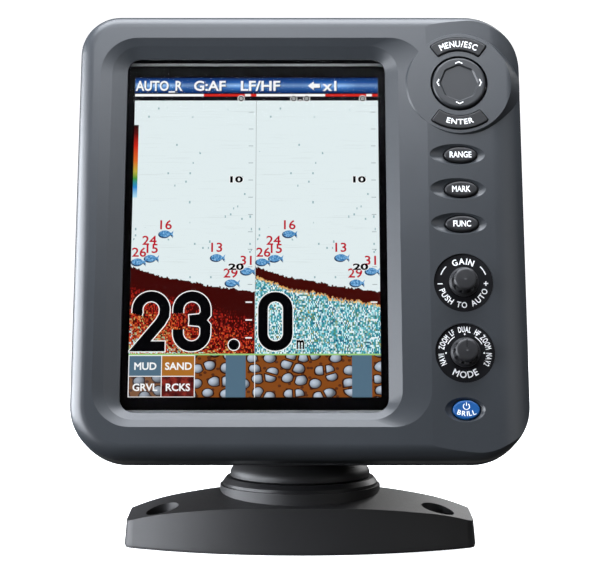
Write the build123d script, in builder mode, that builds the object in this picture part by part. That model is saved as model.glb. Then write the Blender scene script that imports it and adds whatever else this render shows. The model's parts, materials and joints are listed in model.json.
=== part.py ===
"""Console fish finder on a tilt and swivel base, one STEP file for each separate piece.

The row frame is +Z up with its origin on the swivel axis, at the underside of the base, and the
screen faces -Y. The display stands tilted back, so its pieces are drawn in the face frame:
u across to the right, v up the face and w out of the face, with w = 0 at the front of the window.
"""

import os
from math import cos, degrees, radians, sin, tan

from build123d import *

# ---- driving dimensions, millimetres -------------------------------------------------------

REST_TILT = 12.0  # degrees the display leans back from upright
SCREEN_Y, SCREEN_Z = -35.0, 164.0  # middle of the window's front face

CASE_WIDTH, CASE_HEIGHT = 231.4, 235.0
CASE_RADII = (28.0, 28.0, 29.0, 21.0)  # corners, anticlockwise from bottom left
CROWN = 6.0  # front of the bezel above the window
PARTING = -16.0  # where the bezel meets the rear cover
WALL = 3.0
EDGE_ROUND = 8.0

WINDOW_CENTRE_U = -23.0
WINDOW_WIDTH, WINDOW_HEIGHT, WINDOW_RADIUS = 134.8, 186.4, 7.0
GLASS_MARGIN = 4.0  # the glass reaches this far under the bezel's lip
GLASS_FRONT, GLASS_BACK = -0.5, -3.5
LIP = 1.0  # thickness of the bezel's edge round the window

ACTIVE_WIDTH, ACTIVE_HEIGHT = 128.2, 170.9  # an 8.4 inch, 3:4 upright panel
LCD_FRONT = -4.2

KEY_U = 83.0  # the column of keys
PAD_V, RANGE_V, MARK_V, FUNC_V = 78.5, 40.0, 21.6, 3.2
GAIN_V, MODE_V, POWER_V = -27.7, -63.8, -92.5
OVAL_V = (RANGE_V, MARK_V, FUNC_V)
DIAL_V = (GAIN_V, MODE_V)

COLUMN_SLOPE = 3.2  # degrees the key column falls away to the right
COLUMN_EDGE = 66.0
HOLE_FOOT, HOLE_DEPTH = -0.5, 9.0  # the key holes start behind the panel and run right through
KEY_GAP = 0.5  # between a key and its hole
KEY_TRAVEL = 0.8
OVAL_SIZE, POWER_SIZE = (8.6, 4.3), (6.8, 4.9)  # half width and half height of the key caps
OVAL_DISH, POWER_DISH = (19.0, 7.5), (12.5, 7.6)
ARC_INNER, ARC_OUTER, ARC_HALF_ANGLE = 18.0, 25.0, 36.0
PAD_RADIUS, PAD_HOLE = 13.9, 15.0
PAD_ROCK = 3.0  # degrees
DIAL_RADIUS, DIAL_FLOOR, DIAL_THICK = 15.0, 3.6, 0.8
KNOB_RADIUS, KNOB_SKIRT, KNOB_FLUTES, FLUTE_RADIUS = 6.5, 7.5, 10, 0.9
KNOB_FOOT, KNOB_TOP = DIAL_FLOOR + DIAL_THICK + 1.4, 15.0
SHAFT_RADIUS, BUSHING_RADIUS, BUSHING_TOP = 2.4, 3.5, 6.2
PUSH_TRAVEL = 0.8

INNER_WALL = 0.8  # inside face of the bezel behind the keys
BOARD_TOP, BOARD_THICK = -6.5, 1.6
MAT_THICK = 1.5

FLANGE = 4.0  # thickness of the rear cover's flange
FLANGE_PROUD = 0.5  # it stands this far outside the bezel
REAR_BACK = -58.0
REAR_STEPS = (  # w, half width, bottom v, top v of the rear cover's body
    (PARTING - FLANGE, 105.0, -104.0, 106.0),
    (-34.0, 99.0, -74.0, 97.0),
    (REAR_BACK, 92.0, -72.0, 88.0),
)
REAR_RADIUS = 16.0

PIVOT_V, PIVOT_W = -94.0, -48.0  # tilt axis in the face frame
PIN_RADIUS = 4.0
TONGUE_HALF, BARREL_RADIUS = 13.5, 11.0
EAR_INNER, EAR_OUTER, EAR_RADIUS = 14.0, 23.0, 11.5
CLAMP_KNOB_RADIUS, CLAMP_KNOB_LENGTH = 14.0, 17.0

TURRET_RADIUS, TURRET_FOOT, TURRET_TOP = 37.5, 34.2, 46.0
SPIGOT_RADIUS, SPIGOT_BOTTOM = 12.0, 8.4
RUNNING = 0.05  # radial clearance of a shaft in its bore

BASE_WIDTH, BASE_DEPTH, BASE_END_DEPTH = 184.0, 100.0, 52.0
BASE_DRAFT = 5.0
HUB_RADIUS, HUB_TOP = 43.0, 30.0
COLLAR_RADIUS = 41.5
BASE_WALL = 3.5
HOLE_X, HOLE_Y, HOLE_RADIUS, HOLE_BORE_RADIUS = 72.0, 23.0, 2.75, 8.5

# ---- frames and shared profiles --------------------------------------------------------------

tilt = radians(REST_TILT)
face = Plane(origin=(0, SCREEN_Y, SCREEN_Z), x_dir=(1, 0, 0), z_dir=(0, -cos(tilt), sin(tilt)))
OUTWARD = Axis(face.origin, face.z_dir)
UPWARD = Axis(face.origin, face.y_dir)
pivot = face.from_local_coords(Vector(0, PIVOT_V, PIVOT_W))


def four_sided(plane, left, bottom, right, top, radii):
    """A four-sided outline with a radius at each corner, anticlockwise from bottom left."""
    with BuildSketch(plane) as profile:
        with BuildLine():
            FilletPolyline(
                (left, bottom), (right, bottom), (right, top), (left, top), radius=radii, close=True
            )
        make_face()
    return profile.sketch


def case_outline(w, grow=0.0):
    """The outline of the case at height w, grown outwards by grow."""
    half_u, half_v = CASE_WIDTH / 2 + grow, CASE_HEIGHT / 2 + grow
    radii = [radius + grow for radius in CASE_RADII]
    return four_sided(face.offset(w), -half_u, -half_v, half_u, half_v, radii)


def window_outline(w, left, bottom=None, right=None, top=None, extra_radius=None):
    """The window's outline at height w, with a margin on each side."""
    bottom = left if bottom is None else bottom
    right = left if right is None else right
    top = left if top is None else top
    extra_radius = left if extra_radius is None else extra_radius
    half_u, half_v = WINDOW_WIDTH / 2, WINDOW_HEIGHT / 2
    return four_sided(
        face.offset(w),
        WINDOW_CENTRE_U - half_u - left,
        -half_v - bottom,
        WINDOW_CENTRE_U + half_u + right,
        half_v + top,
        WINDOW_RADIUS + extra_radius,
    )


def oval(w, v, half_u, half_v):
    """An ellipse in the key column at height w."""
    with BuildSketch(face.offset(w)) as profile:
        with Locations((KEY_U, v)):
            Ellipse(half_u, half_v)
    return profile.sketch


def discs(w, places, radius, inner=0.0):
    """Circles or rings in the face frame at height w, one at each (u, v)."""
    with BuildSketch(face.offset(w)) as profile:
        with Locations(*places):
            Circle(radius)
            if inner:
                Circle(inner, mode=Mode.SUBTRACT)
    return profile.sketch


def hexes(plane, places, radius):
    """Hexagons on a plane, one at each place."""
    with BuildSketch(plane) as profile:
        with Locations(*places):
            RegularPolygon(radius, 6)
    return profile.sketch


def boxes(w, places, width, height):
    """Rectangles in the face frame at height w, one at each (u, v)."""
    with BuildSketch(face.offset(w)) as profile:
        with Locations(*places):
            Rectangle(width, height)
    return profile.sketch


def arc_key(w, middle_angle, grow=0.0):
    """A bow-shaped key round the cursor pad, with its middle at middle_angle degrees."""
    side = ARC_HALF_ANGLE + degrees(grow / ARC_OUTER)
    with BuildSketch(face.offset(w)) as profile:
        with BuildLine():
            centre = (KEY_U, PAD_V)
            outer = CenterArc(centre, ARC_OUTER + grow, middle_angle - side, 2 * side)
            inner = CenterArc(centre, ARC_INNER - grow, middle_angle - side, 2 * side)
            Line(outer @ 0, inner @ 0)
            Line(outer @ 1, inner @ 1)
        make_face()
        fillet(profile.vertices(), 1.0 + grow / 2)
    return profile.sketch


def across(u, v):
    """The plane through (u, v) cut across the face: its x is u and its y is w."""
    origin = face.from_local_coords(Vector(u, v, 0))
    return Plane(origin=origin, x_dir=face.x_dir, z_dir=-face.y_dir)


def lengthwise(u):
    """The upright plane at u, square to the tilt axis: its x is v and its y is w."""
    origin = face.from_local_coords(Vector(u, 0, 0))
    return Plane(origin=origin, x_dir=face.y_dir, z_dir=face.x_dir)


def outward_axis(u, v):
    """The line through (u, v) that points out of the face."""
    return Axis(face.from_local_coords(Vector(u, v, 0)), face.z_dir)


def beyond(low, high, share=1.5):
    """A value that lies past high by the same share of the step from low."""
    return low + share * (high - low)


os.makedirs("parts", exist_ok=True)

# ---- shared places ----------------------------------------------------------------------------

CASE_SCREW_INSET = 5.5
CASE_SCREW_RADIUS, CASE_SCREW_HEAD_RADIUS, CASE_SCREW_HEAD = 1.6, 3.2, 2.4
CASE_SCREW_TIP = -6.0
CASE_BOSS_RADIUS, CASE_BOSS_TOP = 4.3, -2.5
case_screw_places = [(side * (CASE_WIDTH / 2 - CASE_SCREW_INSET), 0) for side in (-1, 1)]
case_screw_places += [(0, side * (CASE_HEIGHT / 2 - CASE_SCREW_INSET)) for side in (-1, 1)]
for (side_u, side_v), radius in zip(((-1, -1), (1, -1), (1, 1), (-1, 1)), CASE_RADII):
    inward = (radius - CASE_SCREW_INSET) * cos(radians(45)) - radius
    case_screw_places.append(
        (side_u * (CASE_WIDTH / 2 + inward), side_v * (CASE_HEIGHT / 2 + inward))
    )

LCD_MARGIN_U, LCD_MARGIN_V = 4.0, 6.0
LCD_BACK, BACKLIGHT_BACK, FRAME_BACK = -6.2, -12.0, -13.5
FRAME_WALL, FRAME_GAP = 1.2, 0.3
LUG_U = (-101.6, 55.6)
LUG_V = (-80.0, 80.0)
LUG_BOSS_RADIUS = 4.0
lug_places = [(u, v) for u in LUG_U for v in LUG_V]

key_post_places = [(u, v) for u in (66.5, 100.0) for v in (-79.0, -8.0, 52.0)]
KEY_POST_RADIUS = 2.6
dial_places = [(KEY_U, v) for v in DIAL_V]

SMALL_SCREW_RADIUS, SMALL_SCREW_HEAD_RADIUS, SMALL_SCREW_HEAD = 1.25, 2.6, 1.8
SMALL_SCREW_LENGTH = 5.0

ROCK_W = -2.0  # height of the cursor pad's two rocking axes
ROCKER_RADIUS, ROCKER_INNER, ROCKER_THICK = 11.0, 4.5, 2.4
STUB_RADIUS = 0.8
LUG_NEAR, LUG_FAR = 15.4, 17.4  # the moulded lugs that carry the rocker

# ---- front bezel ------------------------------------------------------------------------------

LIP_MARGINS = (0.3, 0.3, 0.3, 0.3)  # left, bottom, right and top of the window
BAND_W, BAND_MARGINS, BAND_RADIUS = 4.2, (8.0, 4.2, 7.0, 6.5), 8.0
RIM_MARGINS, RIM_RADIUS = (13.6, 8.0, 21.6, 10.5), 12.0
PAD_BOSS_RADIUS, PAD_BOSS_FOOT = 27.0, 32.0  # the raised round of the cursor pad
SHOULDER_U = 100.0  # the right edge starts to turn down here
OVAL_DISH_RISE, POWER_DISH_RISE = 4.9, 4.4

with BuildPart() as window_slope:
    # the shallow outer slope round the window
    loft(
        [
            window_outline(BAND_W, *BAND_MARGINS, BAND_RADIUS),
            window_outline(
                beyond(BAND_W, CROWN),
                *[beyond(low, high) for low, high in zip(BAND_MARGINS, RIM_MARGINS)],
                beyond(BAND_RADIUS, RIM_RADIUS),
            ),
        ]
    )
    # the key column falls away to the right and turns down at its edge
    with BuildSketch(across(0, CASE_HEIGHT / 2 + 1)):
        with BuildLine():
            fall = tan(radians(COLUMN_SLOPE))
            shoulder = (SHOULDER_U, CROWN - fall * (SHOULDER_U - COLUMN_EDGE))
            edge_end = (CASE_WIDTH / 2 + 1.0, -3.0)
            Line((COLUMN_EDGE, CROWN), shoulder)
            TangentArc(shoulder, edge_end, tangent=(1, -fall))
            Polyline(
                edge_end, (CASE_WIDTH / 2 + 6, -3.0), (CASE_WIDTH / 2 + 6, CROWN + 6),
                (COLUMN_EDGE, CROWN + 6), (COLUMN_EDGE, CROWN),
            )
        make_face()
    extrude(amount=CASE_HEIGHT + 2)
    # both leave the round under the cursor pad standing
    with BuildSketch(across(KEY_U, PAD_V)):
        with BuildLine():
            Polyline(
                (0, -6), (PAD_BOSS_FOOT + 4, -6), (PAD_BOSS_RADIUS, CROWN),
                (PAD_BOSS_RADIUS, CROWN + 8), (0, CROWN + 8), close=True,
            )
        make_face()
    revolve(axis=outward_axis(KEY_U, PAD_V), mode=Mode.SUBTRACT)

with BuildPart() as finger_dishes:
    # ellipsoids lying along u, one over each oval key and one over the power key
    column_top = CROWN - fall * (KEY_U - COLUMN_EDGE)
    for v, (half_length, half_height), rise in [
        *[(v, OVAL_DISH, OVAL_DISH_RISE) for v in OVAL_V],
        (POWER_V, POWER_DISH, POWER_DISH_RISE),
    ]:
        with BuildSketch(across(KEY_U, v)) as lower_half:
            with Locations((0, column_top + rise)):
                Ellipse(half_length, half_height)
                Rectangle(
                    2 * half_length, half_height + 1, align=(Align.CENTER, Align.MIN),
                    mode=Mode.SUBTRACT,
                )
        dish_middle = face.from_local_coords(Vector(KEY_U, v, column_top + rise))
        revolve(lower_half.sketch, axis=Axis(dish_middle, face.x_dir))

with BuildPart() as rim_hollow:
    # the space round the glass, in front of the deep hollow
    extrude(case_outline(GLASS_BACK - 1, -2 * WALL), amount=INNER_WALL - GLASS_BACK + 1)
    extrude(
        window_outline(GLASS_BACK - 1, GLASS_MARGIN + WALL), amount=INNER_WALL - GLASS_BACK + 1,
        mode=Mode.SUBTRACT,
    )

with BuildPart() as front_bezel:
    extrude(case_outline(PARTING), amount=CROWN - PARTING)
    fillet(front_bezel.faces().sort_by(OUTWARD)[-1].edges(), EDGE_ROUND)
    add(window_slope.part, mode=Mode.SUBTRACT)
    loft(
        [
            window_outline(LIP, *LIP_MARGINS, 0.3),
            window_outline(
                beyond(LIP, BAND_W),
                *[beyond(low, high) for low, high in zip(LIP_MARGINS, BAND_MARGINS)],
                beyond(0.3, BAND_RADIUS),
            ),
        ],
        mode=Mode.SUBTRACT,
    )
    extrude(window_outline(PARTING, 0.3), amount=LIP + 1 - PARTING, mode=Mode.SUBTRACT)
    # the deep hollow, the pocket for the glass and the space round it
    deep_front = GLASS_BACK - 0.5
    extrude(case_outline(PARTING, -WALL), amount=deep_front - PARTING, mode=Mode.SUBTRACT)
    glass_pocket = window_outline(GLASS_BACK - 1, GLASS_MARGIN + 0.2)
    extrude(glass_pocket, amount=1 - GLASS_BACK, mode=Mode.SUBTRACT)
    add(rim_hollow.part, mode=Mode.SUBTRACT)
    # bosses for the case screws, the screen frame and the key board
    extrude(discs(PARTING, case_screw_places, CASE_BOSS_RADIUS), amount=CASE_BOSS_TOP - PARTING)
    extrude(discs(BACKLIGHT_BACK, lug_places, LUG_BOSS_RADIUS), amount=INNER_WALL - BACKLIGHT_BACK)
    extrude(discs(BOARD_TOP, key_post_places, KEY_POST_RADIUS), amount=INNER_WALL - BOARD_TOP)
    case_holes = discs(PARTING, case_screw_places, CASE_SCREW_RADIUS + RUNNING)
    extrude(case_holes, amount=CASE_SCREW_TIP + 0.5 - PARTING, mode=Mode.SUBTRACT)
    lug_holes = discs(BACKLIGHT_BACK, lug_places, SMALL_SCREW_RADIUS + RUNNING)
    extrude(lug_holes, amount=SMALL_SCREW_LENGTH, mode=Mode.SUBTRACT)
    post_holes = discs(BOARD_TOP, key_post_places, SMALL_SCREW_RADIUS + RUNNING)
    extrude(post_holes, amount=SMALL_SCREW_LENGTH, mode=Mode.SUBTRACT)
    # moulded lugs for the cursor rocker
    lug_middle = (LUG_NEAR + LUG_FAR) / 2
    lug_pair = [(KEY_U - lug_middle, PAD_V), (KEY_U + lug_middle, PAD_V)]
    extrude(boxes(ROCK_W - 1.8, lug_pair, LUG_FAR - LUG_NEAR, 4.0), amount=INNER_WALL + 1.8 - ROCK_W)
    # the key column
    add(finger_dishes.part, mode=Mode.SUBTRACT)
    for v in OVAL_V:
        key_hole = oval(HOLE_FOOT, v, *[half + KEY_GAP for half in OVAL_SIZE])
        extrude(key_hole, amount=HOLE_DEPTH, mode=Mode.SUBTRACT)
    power_hole = oval(HOLE_FOOT, POWER_V, *[half + KEY_GAP for half in POWER_SIZE])
    extrude(power_hole, amount=HOLE_DEPTH, mode=Mode.SUBTRACT)
    for angle in (90, -90):
        extrude(arc_key(HOLE_FOOT, angle, KEY_GAP), amount=HOLE_DEPTH, mode=Mode.SUBTRACT)
    extrude(discs(HOLE_FOOT, [(KEY_U, PAD_V)], PAD_HOLE), amount=HOLE_DEPTH, mode=Mode.SUBTRACT)
    extrude(discs(DIAL_FLOOR, dial_places, DIAL_RADIUS + 0.15), amount=5, mode=Mode.SUBTRACT)
    bushing_holes = discs(HOLE_FOOT, dial_places, BUSHING_RADIUS + 0.1)
    extrude(bushing_holes, amount=HOLE_DEPTH, mode=Mode.SUBTRACT)
    with BuildSketch(lengthwise(KEY_U - LUG_FAR - 1)):
        with Locations((PAD_V, ROCK_W)):
            Circle(STUB_RADIUS + RUNNING)
    extrude(amount=2 * LUG_FAR + 2, mode=Mode.SUBTRACT)
front_bezel.part.label = "front_bezel"
export_step(front_bezel.part, "parts/front_bezel.step")

# ---- window and screen ------------------------------------------------------------------------

with BuildPart() as window_glass:
    extrude(window_outline(GLASS_BACK, GLASS_MARGIN), amount=GLASS_FRONT - GLASS_BACK)
    chamfer(window_glass.faces().sort_by(OUTWARD)[-1].edges(), 0.3)
window_glass.part.label = "window_glass"
export_step(window_glass.part, "parts/window_glass.step")

with BuildPart() as window_gasket:
    extrude(window_outline(GLASS_FRONT, GLASS_MARGIN - 0.5), amount=-GLASS_FRONT)
    extrude(window_outline(GLASS_FRONT, 0.8), amount=-GLASS_FRONT, mode=Mode.SUBTRACT)
window_gasket.part.label = "window_gasket"
export_step(window_gasket.part, "parts/window_gasket.step")

lcd_width = ACTIVE_WIDTH + 2 * LCD_MARGIN_U
lcd_height = ACTIVE_HEIGHT + 2 * LCD_MARGIN_V
screen_middle = [(WINDOW_CENTRE_U, 0)]

with BuildPart() as lcd_panel:
    extrude(boxes(LCD_BACK, screen_middle, lcd_width, lcd_height), amount=LCD_FRONT - LCD_BACK - 0.6)
    # the front sheet is a little smaller than the rear one
    front_sheet = boxes(LCD_FRONT - 0.6, screen_middle, lcd_width - 3, lcd_height - 3)
    extrude(front_sheet, amount=0.6)
lcd_panel.part.label = "lcd_panel"
export_step(lcd_panel.part, "parts/lcd_panel.step")

with BuildPart() as backlight_unit:
    backlight = boxes(BACKLIGHT_BACK, screen_middle, lcd_width, lcd_height)
    extrude(backlight, amount=LCD_BACK - BACKLIGHT_BACK)
    fillet(backlight_unit.edges().filter_by(Axis((0, 0, 0), face.z_dir)), 1.5)
backlight_unit.part.label = "backlight_unit"
export_step(backlight_unit.part, "parts/backlight_unit.step")

tray_width = lcd_width + 2 * (FRAME_GAP + FRAME_WALL)
tray_height = lcd_height + 2 * (FRAME_GAP + FRAME_WALL)

with BuildPart() as lcd_frame:
    extrude(boxes(FRAME_BACK, screen_middle, tray_width, tray_height), amount=GLASS_BACK - FRAME_BACK)
    fillet(lcd_frame.edges().filter_by(Axis((0, 0, 0), face.z_dir)), 2.5)
    inside = boxes(
        BACKLIGHT_BACK, screen_middle, lcd_width + 2 * FRAME_GAP, lcd_height + 2 * FRAME_GAP
    )
    extrude(inside, amount=GLASS_BACK - BACKLIGHT_BACK, mode=Mode.SUBTRACT)
    # a lug at each corner reaches the boss in the bezel
    for u, v in lug_places:
        tray_edge = WINDOW_CENTRE_U + (tray_width / 2 - 1) * (1 if u > 0 else -1)
        reach = abs(u - tray_edge) + LUG_BOSS_RADIUS
        middle = (u + tray_edge) / 2 + (LUG_BOSS_RADIUS / 2) * (1 if u > 0 else -1)
        extrude(boxes(FRAME_BACK, [(middle, v)], reach, 9), amount=BACKLIGHT_BACK - FRAME_BACK)
    extrude(
        discs(FRAME_BACK, lug_places, SMALL_SCREW_RADIUS + 0.2), amount=2, mode=Mode.SUBTRACT
    )
    # lightening windows in the floor
    for v in (-52, 0, 52):
        window = boxes(FRAME_BACK, [(WINDOW_CENTRE_U, v)], 84, 34)
        extrude(window, amount=BACKLIGHT_BACK - FRAME_BACK, mode=Mode.SUBTRACT)
lcd_frame.part.label = "lcd_frame"
export_step(lcd_frame.part, "parts/lcd_frame.step")

# ---- keys -------------------------------------------------------------------------------------

FLANGE_TOP, FLANGE_BACK = INNER_WALL - 0.05, -1.6
KEY_STEM_END, KEY_STEM_RADIUS = -2.3, 2.0
ARC_MIDDLE = (ARC_INNER + ARC_OUTER) / 2
ARC_ROUND, OVAL_ROUND, POWER_ROUND = 0.6, 1.3, 1.0
ARC_RIM, OVAL_RIM = 0.9, 1.5  # how far a key's rim reaches behind the panel
OVAL_TOP, ARC_TOP, POWER_TOP = 5.2, 6.9, 4.8
DOME_TOP, DOME_FOOT = -3.2, BOARD_TOP + MAT_THICK

with BuildPart() as menu_key:
    extrude(arc_key(FLANGE_TOP, 90), amount=ARC_TOP - FLANGE_TOP)
    fillet(menu_key.faces().sort_by(OUTWARD)[-1].edges(), ARC_ROUND)
    extrude(arc_key(FLANGE_BACK, 90, ARC_RIM), amount=FLANGE_TOP - FLANGE_BACK)
    stem = discs(KEY_STEM_END, [(KEY_U, PAD_V + ARC_MIDDLE)], KEY_STEM_RADIUS)
    extrude(stem, amount=FLANGE_BACK - KEY_STEM_END)
menu_key.part.label = "menu_key"
export_step(menu_key.part, "parts/menu_key.step")

with BuildPart() as enter_key:
    extrude(arc_key(FLANGE_TOP, -90), amount=ARC_TOP - FLANGE_TOP)
    fillet(enter_key.faces().sort_by(OUTWARD)[-1].edges(), ARC_ROUND)
    extrude(arc_key(FLANGE_BACK, -90, ARC_RIM), amount=FLANGE_TOP - FLANGE_BACK)
    stem = discs(KEY_STEM_END, [(KEY_U, PAD_V - ARC_MIDDLE)], KEY_STEM_RADIUS)
    extrude(stem, amount=FLANGE_BACK - KEY_STEM_END)
enter_key.part.label = "enter_key"
export_step(enter_key.part, "parts/enter_key.step")


def key_flange(v, size):
    """The rim behind the panel that keeps an oval key in its hole."""
    return oval(FLANGE_BACK, v, size[0] + OVAL_RIM, size[1] + OVAL_RIM)


with BuildPart() as range_key:
    extrude(oval(FLANGE_TOP, RANGE_V, *OVAL_SIZE), amount=OVAL_TOP - FLANGE_TOP)
    fillet(range_key.faces().sort_by(OUTWARD)[-1].edges(), OVAL_ROUND)
    extrude(key_flange(RANGE_V, OVAL_SIZE), amount=FLANGE_TOP - FLANGE_BACK)
    stem = discs(KEY_STEM_END, [(KEY_U, RANGE_V)], KEY_STEM_RADIUS)
    extrude(stem, amount=FLANGE_BACK - KEY_STEM_END)
range_key.part.label = "range_key"
export_step(range_key.part, "parts/range_key.step")

with BuildPart() as mark_key:
    extrude(oval(FLANGE_TOP, MARK_V, *OVAL_SIZE), amount=OVAL_TOP - FLANGE_TOP)
    fillet(mark_key.faces().sort_by(OUTWARD)[-1].edges(), OVAL_ROUND)
    extrude(key_flange(MARK_V, OVAL_SIZE), amount=FLANGE_TOP - FLANGE_BACK)
    stem = discs(KEY_STEM_END, [(KEY_U, MARK_V)], KEY_STEM_RADIUS)
    extrude(stem, amount=FLANGE_BACK - KEY_STEM_END)
mark_key.part.label = "mark_key"
export_step(mark_key.part, "parts/mark_key.step")

with BuildPart() as func_key:
    extrude(oval(FLANGE_TOP, FUNC_V, *OVAL_SIZE), amount=OVAL_TOP - FLANGE_TOP)
    fillet(func_key.faces().sort_by(OUTWARD)[-1].edges(), OVAL_ROUND)
    extrude(key_flange(FUNC_V, OVAL_SIZE), amount=FLANGE_TOP - FLANGE_BACK)
    stem = discs(KEY_STEM_END, [(KEY_U, FUNC_V)], KEY_STEM_RADIUS)
    extrude(stem, amount=FLANGE_BACK - KEY_STEM_END)
func_key.part.label = "func_key"
export_step(func_key.part, "parts/func_key.step")

with BuildPart() as power_key:
    extrude(oval(FLANGE_TOP, POWER_V, *POWER_SIZE), amount=POWER_TOP - FLANGE_TOP)
    fillet(power_key.faces().sort_by(OUTWARD)[-1].edges(), POWER_ROUND)
    extrude(key_flange(POWER_V, POWER_SIZE), amount=FLANGE_TOP - FLANGE_BACK)
    stem = discs(KEY_STEM_END, [(KEY_U, POWER_V)], KEY_STEM_RADIUS)
    extrude(stem, amount=FLANGE_BACK - KEY_STEM_END)
power_key.part.label = "power_key"
export_step(power_key.part, "parts/power_key.step")

PAD_FOOT, PAD_TOP, PAD_ROUND = 1.5, 7.0, 1.4
THUMB_RADIUS, THUMB_CORNER, THUMB_DEPTH = 10.4, 3.0, 0.8
PIN_HALF, PIN_SLOT_HALF = 6.5, 7.0  # half length of the pad's cross pin and of its bore

with BuildPart() as cursor_pad:
    extrude(discs(PAD_FOOT, [(KEY_U, PAD_V)], PAD_RADIUS), amount=PAD_TOP - PAD_FOOT)
    fillet(cursor_pad.faces().sort_by(OUTWARD)[-1].edges(), PAD_ROUND)
    with BuildSketch(face.offset(PAD_TOP)) as thumb_dish:
        with Locations((KEY_U, PAD_V)):
            RegularPolygon(THUMB_RADIUS, 8)
        fillet(thumb_dish.vertices(), THUMB_CORNER)
    extrude(amount=-THUMB_DEPTH, taper=45, mode=Mode.SUBTRACT)
    extrude(discs(ROCK_W - 1.0, [(KEY_U, PAD_V)], 3.0), amount=PAD_FOOT + 1.0 - ROCK_W)
    # the cross pin that the pad rocks on
    with BuildSketch(across(KEY_U, PAD_V + PIN_HALF)):
        with Locations((0, ROCK_W)):
            Circle(STUB_RADIUS)
    extrude(amount=2 * PIN_HALF)
cursor_pad.part.label = "cursor_pad"
export_step(cursor_pad.part, "parts/cursor_pad.step")

with BuildPart() as cursor_rocker:
    rocker = discs(ROCK_W - ROCKER_THICK / 2, [(KEY_U, PAD_V)], ROCKER_RADIUS, ROCKER_INNER)
    extrude(rocker, amount=ROCKER_THICK)
    for side in (-1, 1):
        with BuildSketch(lengthwise(KEY_U + side * (ROCKER_RADIUS - 1))):
            with Locations((PAD_V, ROCK_W)):
                Circle(STUB_RADIUS)
        extrude(amount=side * (LUG_FAR - ROCKER_RADIUS + 0.6))
    with BuildSketch(across(KEY_U, PAD_V + PIN_SLOT_HALF)):
        with Locations((0, ROCK_W)):
            Circle(STUB_RADIUS + RUNNING)
    extrude(amount=2 * PIN_SLOT_HALF, mode=Mode.SUBTRACT)
cursor_rocker.part.label = "cursor_rocker"
export_step(cursor_rocker.part, "parts/cursor_rocker.step")

# ---- dials, knobs, encoder and switch ---------------------------------------------------------

with BuildPart() as gain_dial:
    extrude(discs(DIAL_FLOOR, [(KEY_U, GAIN_V)], DIAL_RADIUS, BUSHING_RADIUS + 0.1), amount=DIAL_THICK)
gain_dial.part.label = "gain_dial"
export_step(gain_dial.part, "parts/gain_dial.step")

with BuildPart() as mode_dial:
    extrude(discs(DIAL_FLOOR, [(KEY_U, MODE_V)], DIAL_RADIUS, BUSHING_RADIUS + 0.1), amount=DIAL_THICK)
mode_dial.part.label = "mode_dial"
export_step(mode_dial.part, "parts/mode_dial.step")


def knob_profile(v):
    """Half the silhouette of a knob: a skirt, a waist and a rounded top, hollow underneath."""
    with BuildSketch(across(KEY_U, v)) as profile:
        with BuildLine():
            Polyline(
                (SHAFT_RADIUS + RUNNING, BUSHING_TOP + 1.2),
                (BUSHING_RADIUS + 2.4, BUSHING_TOP + 1.2),
                (BUSHING_RADIUS + 2.4, KNOB_FOOT),
                (KNOB_SKIRT, KNOB_FOOT),
                (KNOB_SKIRT, KNOB_FOOT + 1.6),
                (KNOB_RADIUS, KNOB_FOOT + 2.8),
                (KNOB_RADIUS - 0.4, KNOB_TOP - 1.6),
            )
            RadiusArc(
                (KNOB_RADIUS - 0.4, KNOB_TOP - 1.6), (KNOB_RADIUS - 2.2, KNOB_TOP - 0.2), -1.9
            )
            Polyline(
                (KNOB_RADIUS - 2.2, KNOB_TOP - 0.2), (0, KNOB_TOP), (0, KNOB_TOP - 1.4),
                (SHAFT_RADIUS + RUNNING, KNOB_TOP - 1.4),
                (SHAFT_RADIUS + RUNNING, BUSHING_TOP + 1.2),
            )
        make_face()
    return profile.sketch


def flutes(v):
    """The ring of round grooves that grips the finger."""
    with BuildSketch(face.offset(KNOB_FOOT + 3.0)) as profile:
        with Locations((KEY_U, v)):
            with PolarLocations(KNOB_RADIUS - 0.1, KNOB_FLUTES):
                Circle(FLUTE_RADIUS)
    return profile.sketch


with BuildPart() as gain_knob:
    revolve(knob_profile(GAIN_V), axis=outward_axis(KEY_U, GAIN_V))
    extrude(flutes(GAIN_V), amount=9, mode=Mode.SUBTRACT)
gain_knob.part.label = "gain_knob"
export_step(gain_knob.part, "parts/gain_knob.step")

with BuildPart() as mode_knob:
    revolve(knob_profile(MODE_V), axis=outward_axis(KEY_U, MODE_V))
    extrude(flutes(MODE_V), amount=9, mode=Mode.SUBTRACT)
    # the pointer groove
    extrude(boxes(KNOB_TOP - 0.5, [(KEY_U, MODE_V + 3.4)], 0.9, 4.2), amount=1, mode=Mode.SUBTRACT)
mode_knob.part.label = "mode_knob"
export_step(mode_knob.part, "parts/mode_knob.step")

PLUNGER_TOP, PLUNGER_THICK, PLUNGER_RADIUS = -3.2, 0.8, 3.3
SHAFT_END = KNOB_TOP - 1.5
BODY_SIDE = 12.0

with BuildPart() as gain_shaft:
    extrude(discs(PLUNGER_TOP, [(KEY_U, GAIN_V)], SHAFT_RADIUS), amount=SHAFT_END - PLUNGER_TOP)
gain_shaft.part.label = "gain_shaft"
export_step(gain_shaft.part, "parts/gain_shaft.step")

with BuildPart() as mode_shaft:
    extrude(discs(PLUNGER_TOP, [(KEY_U, MODE_V)], SHAFT_RADIUS), amount=SHAFT_END - PLUNGER_TOP)
    rotor = discs(PLUNGER_TOP - PLUNGER_THICK, [(KEY_U, MODE_V)], PLUNGER_RADIUS)
    extrude(rotor, amount=PLUNGER_THICK)
mode_shaft.part.label = "mode_shaft"
export_step(mode_shaft.part, "parts/mode_shaft.step")

with BuildPart() as gain_plunger:
    plunger = discs(PLUNGER_TOP - PLUNGER_THICK, [(KEY_U, GAIN_V)], PLUNGER_RADIUS)
    extrude(plunger, amount=PLUNGER_THICK)
gain_plunger.part.label = "gain_plunger"
export_step(gain_plunger.part, "parts/gain_plunger.step")


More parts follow.
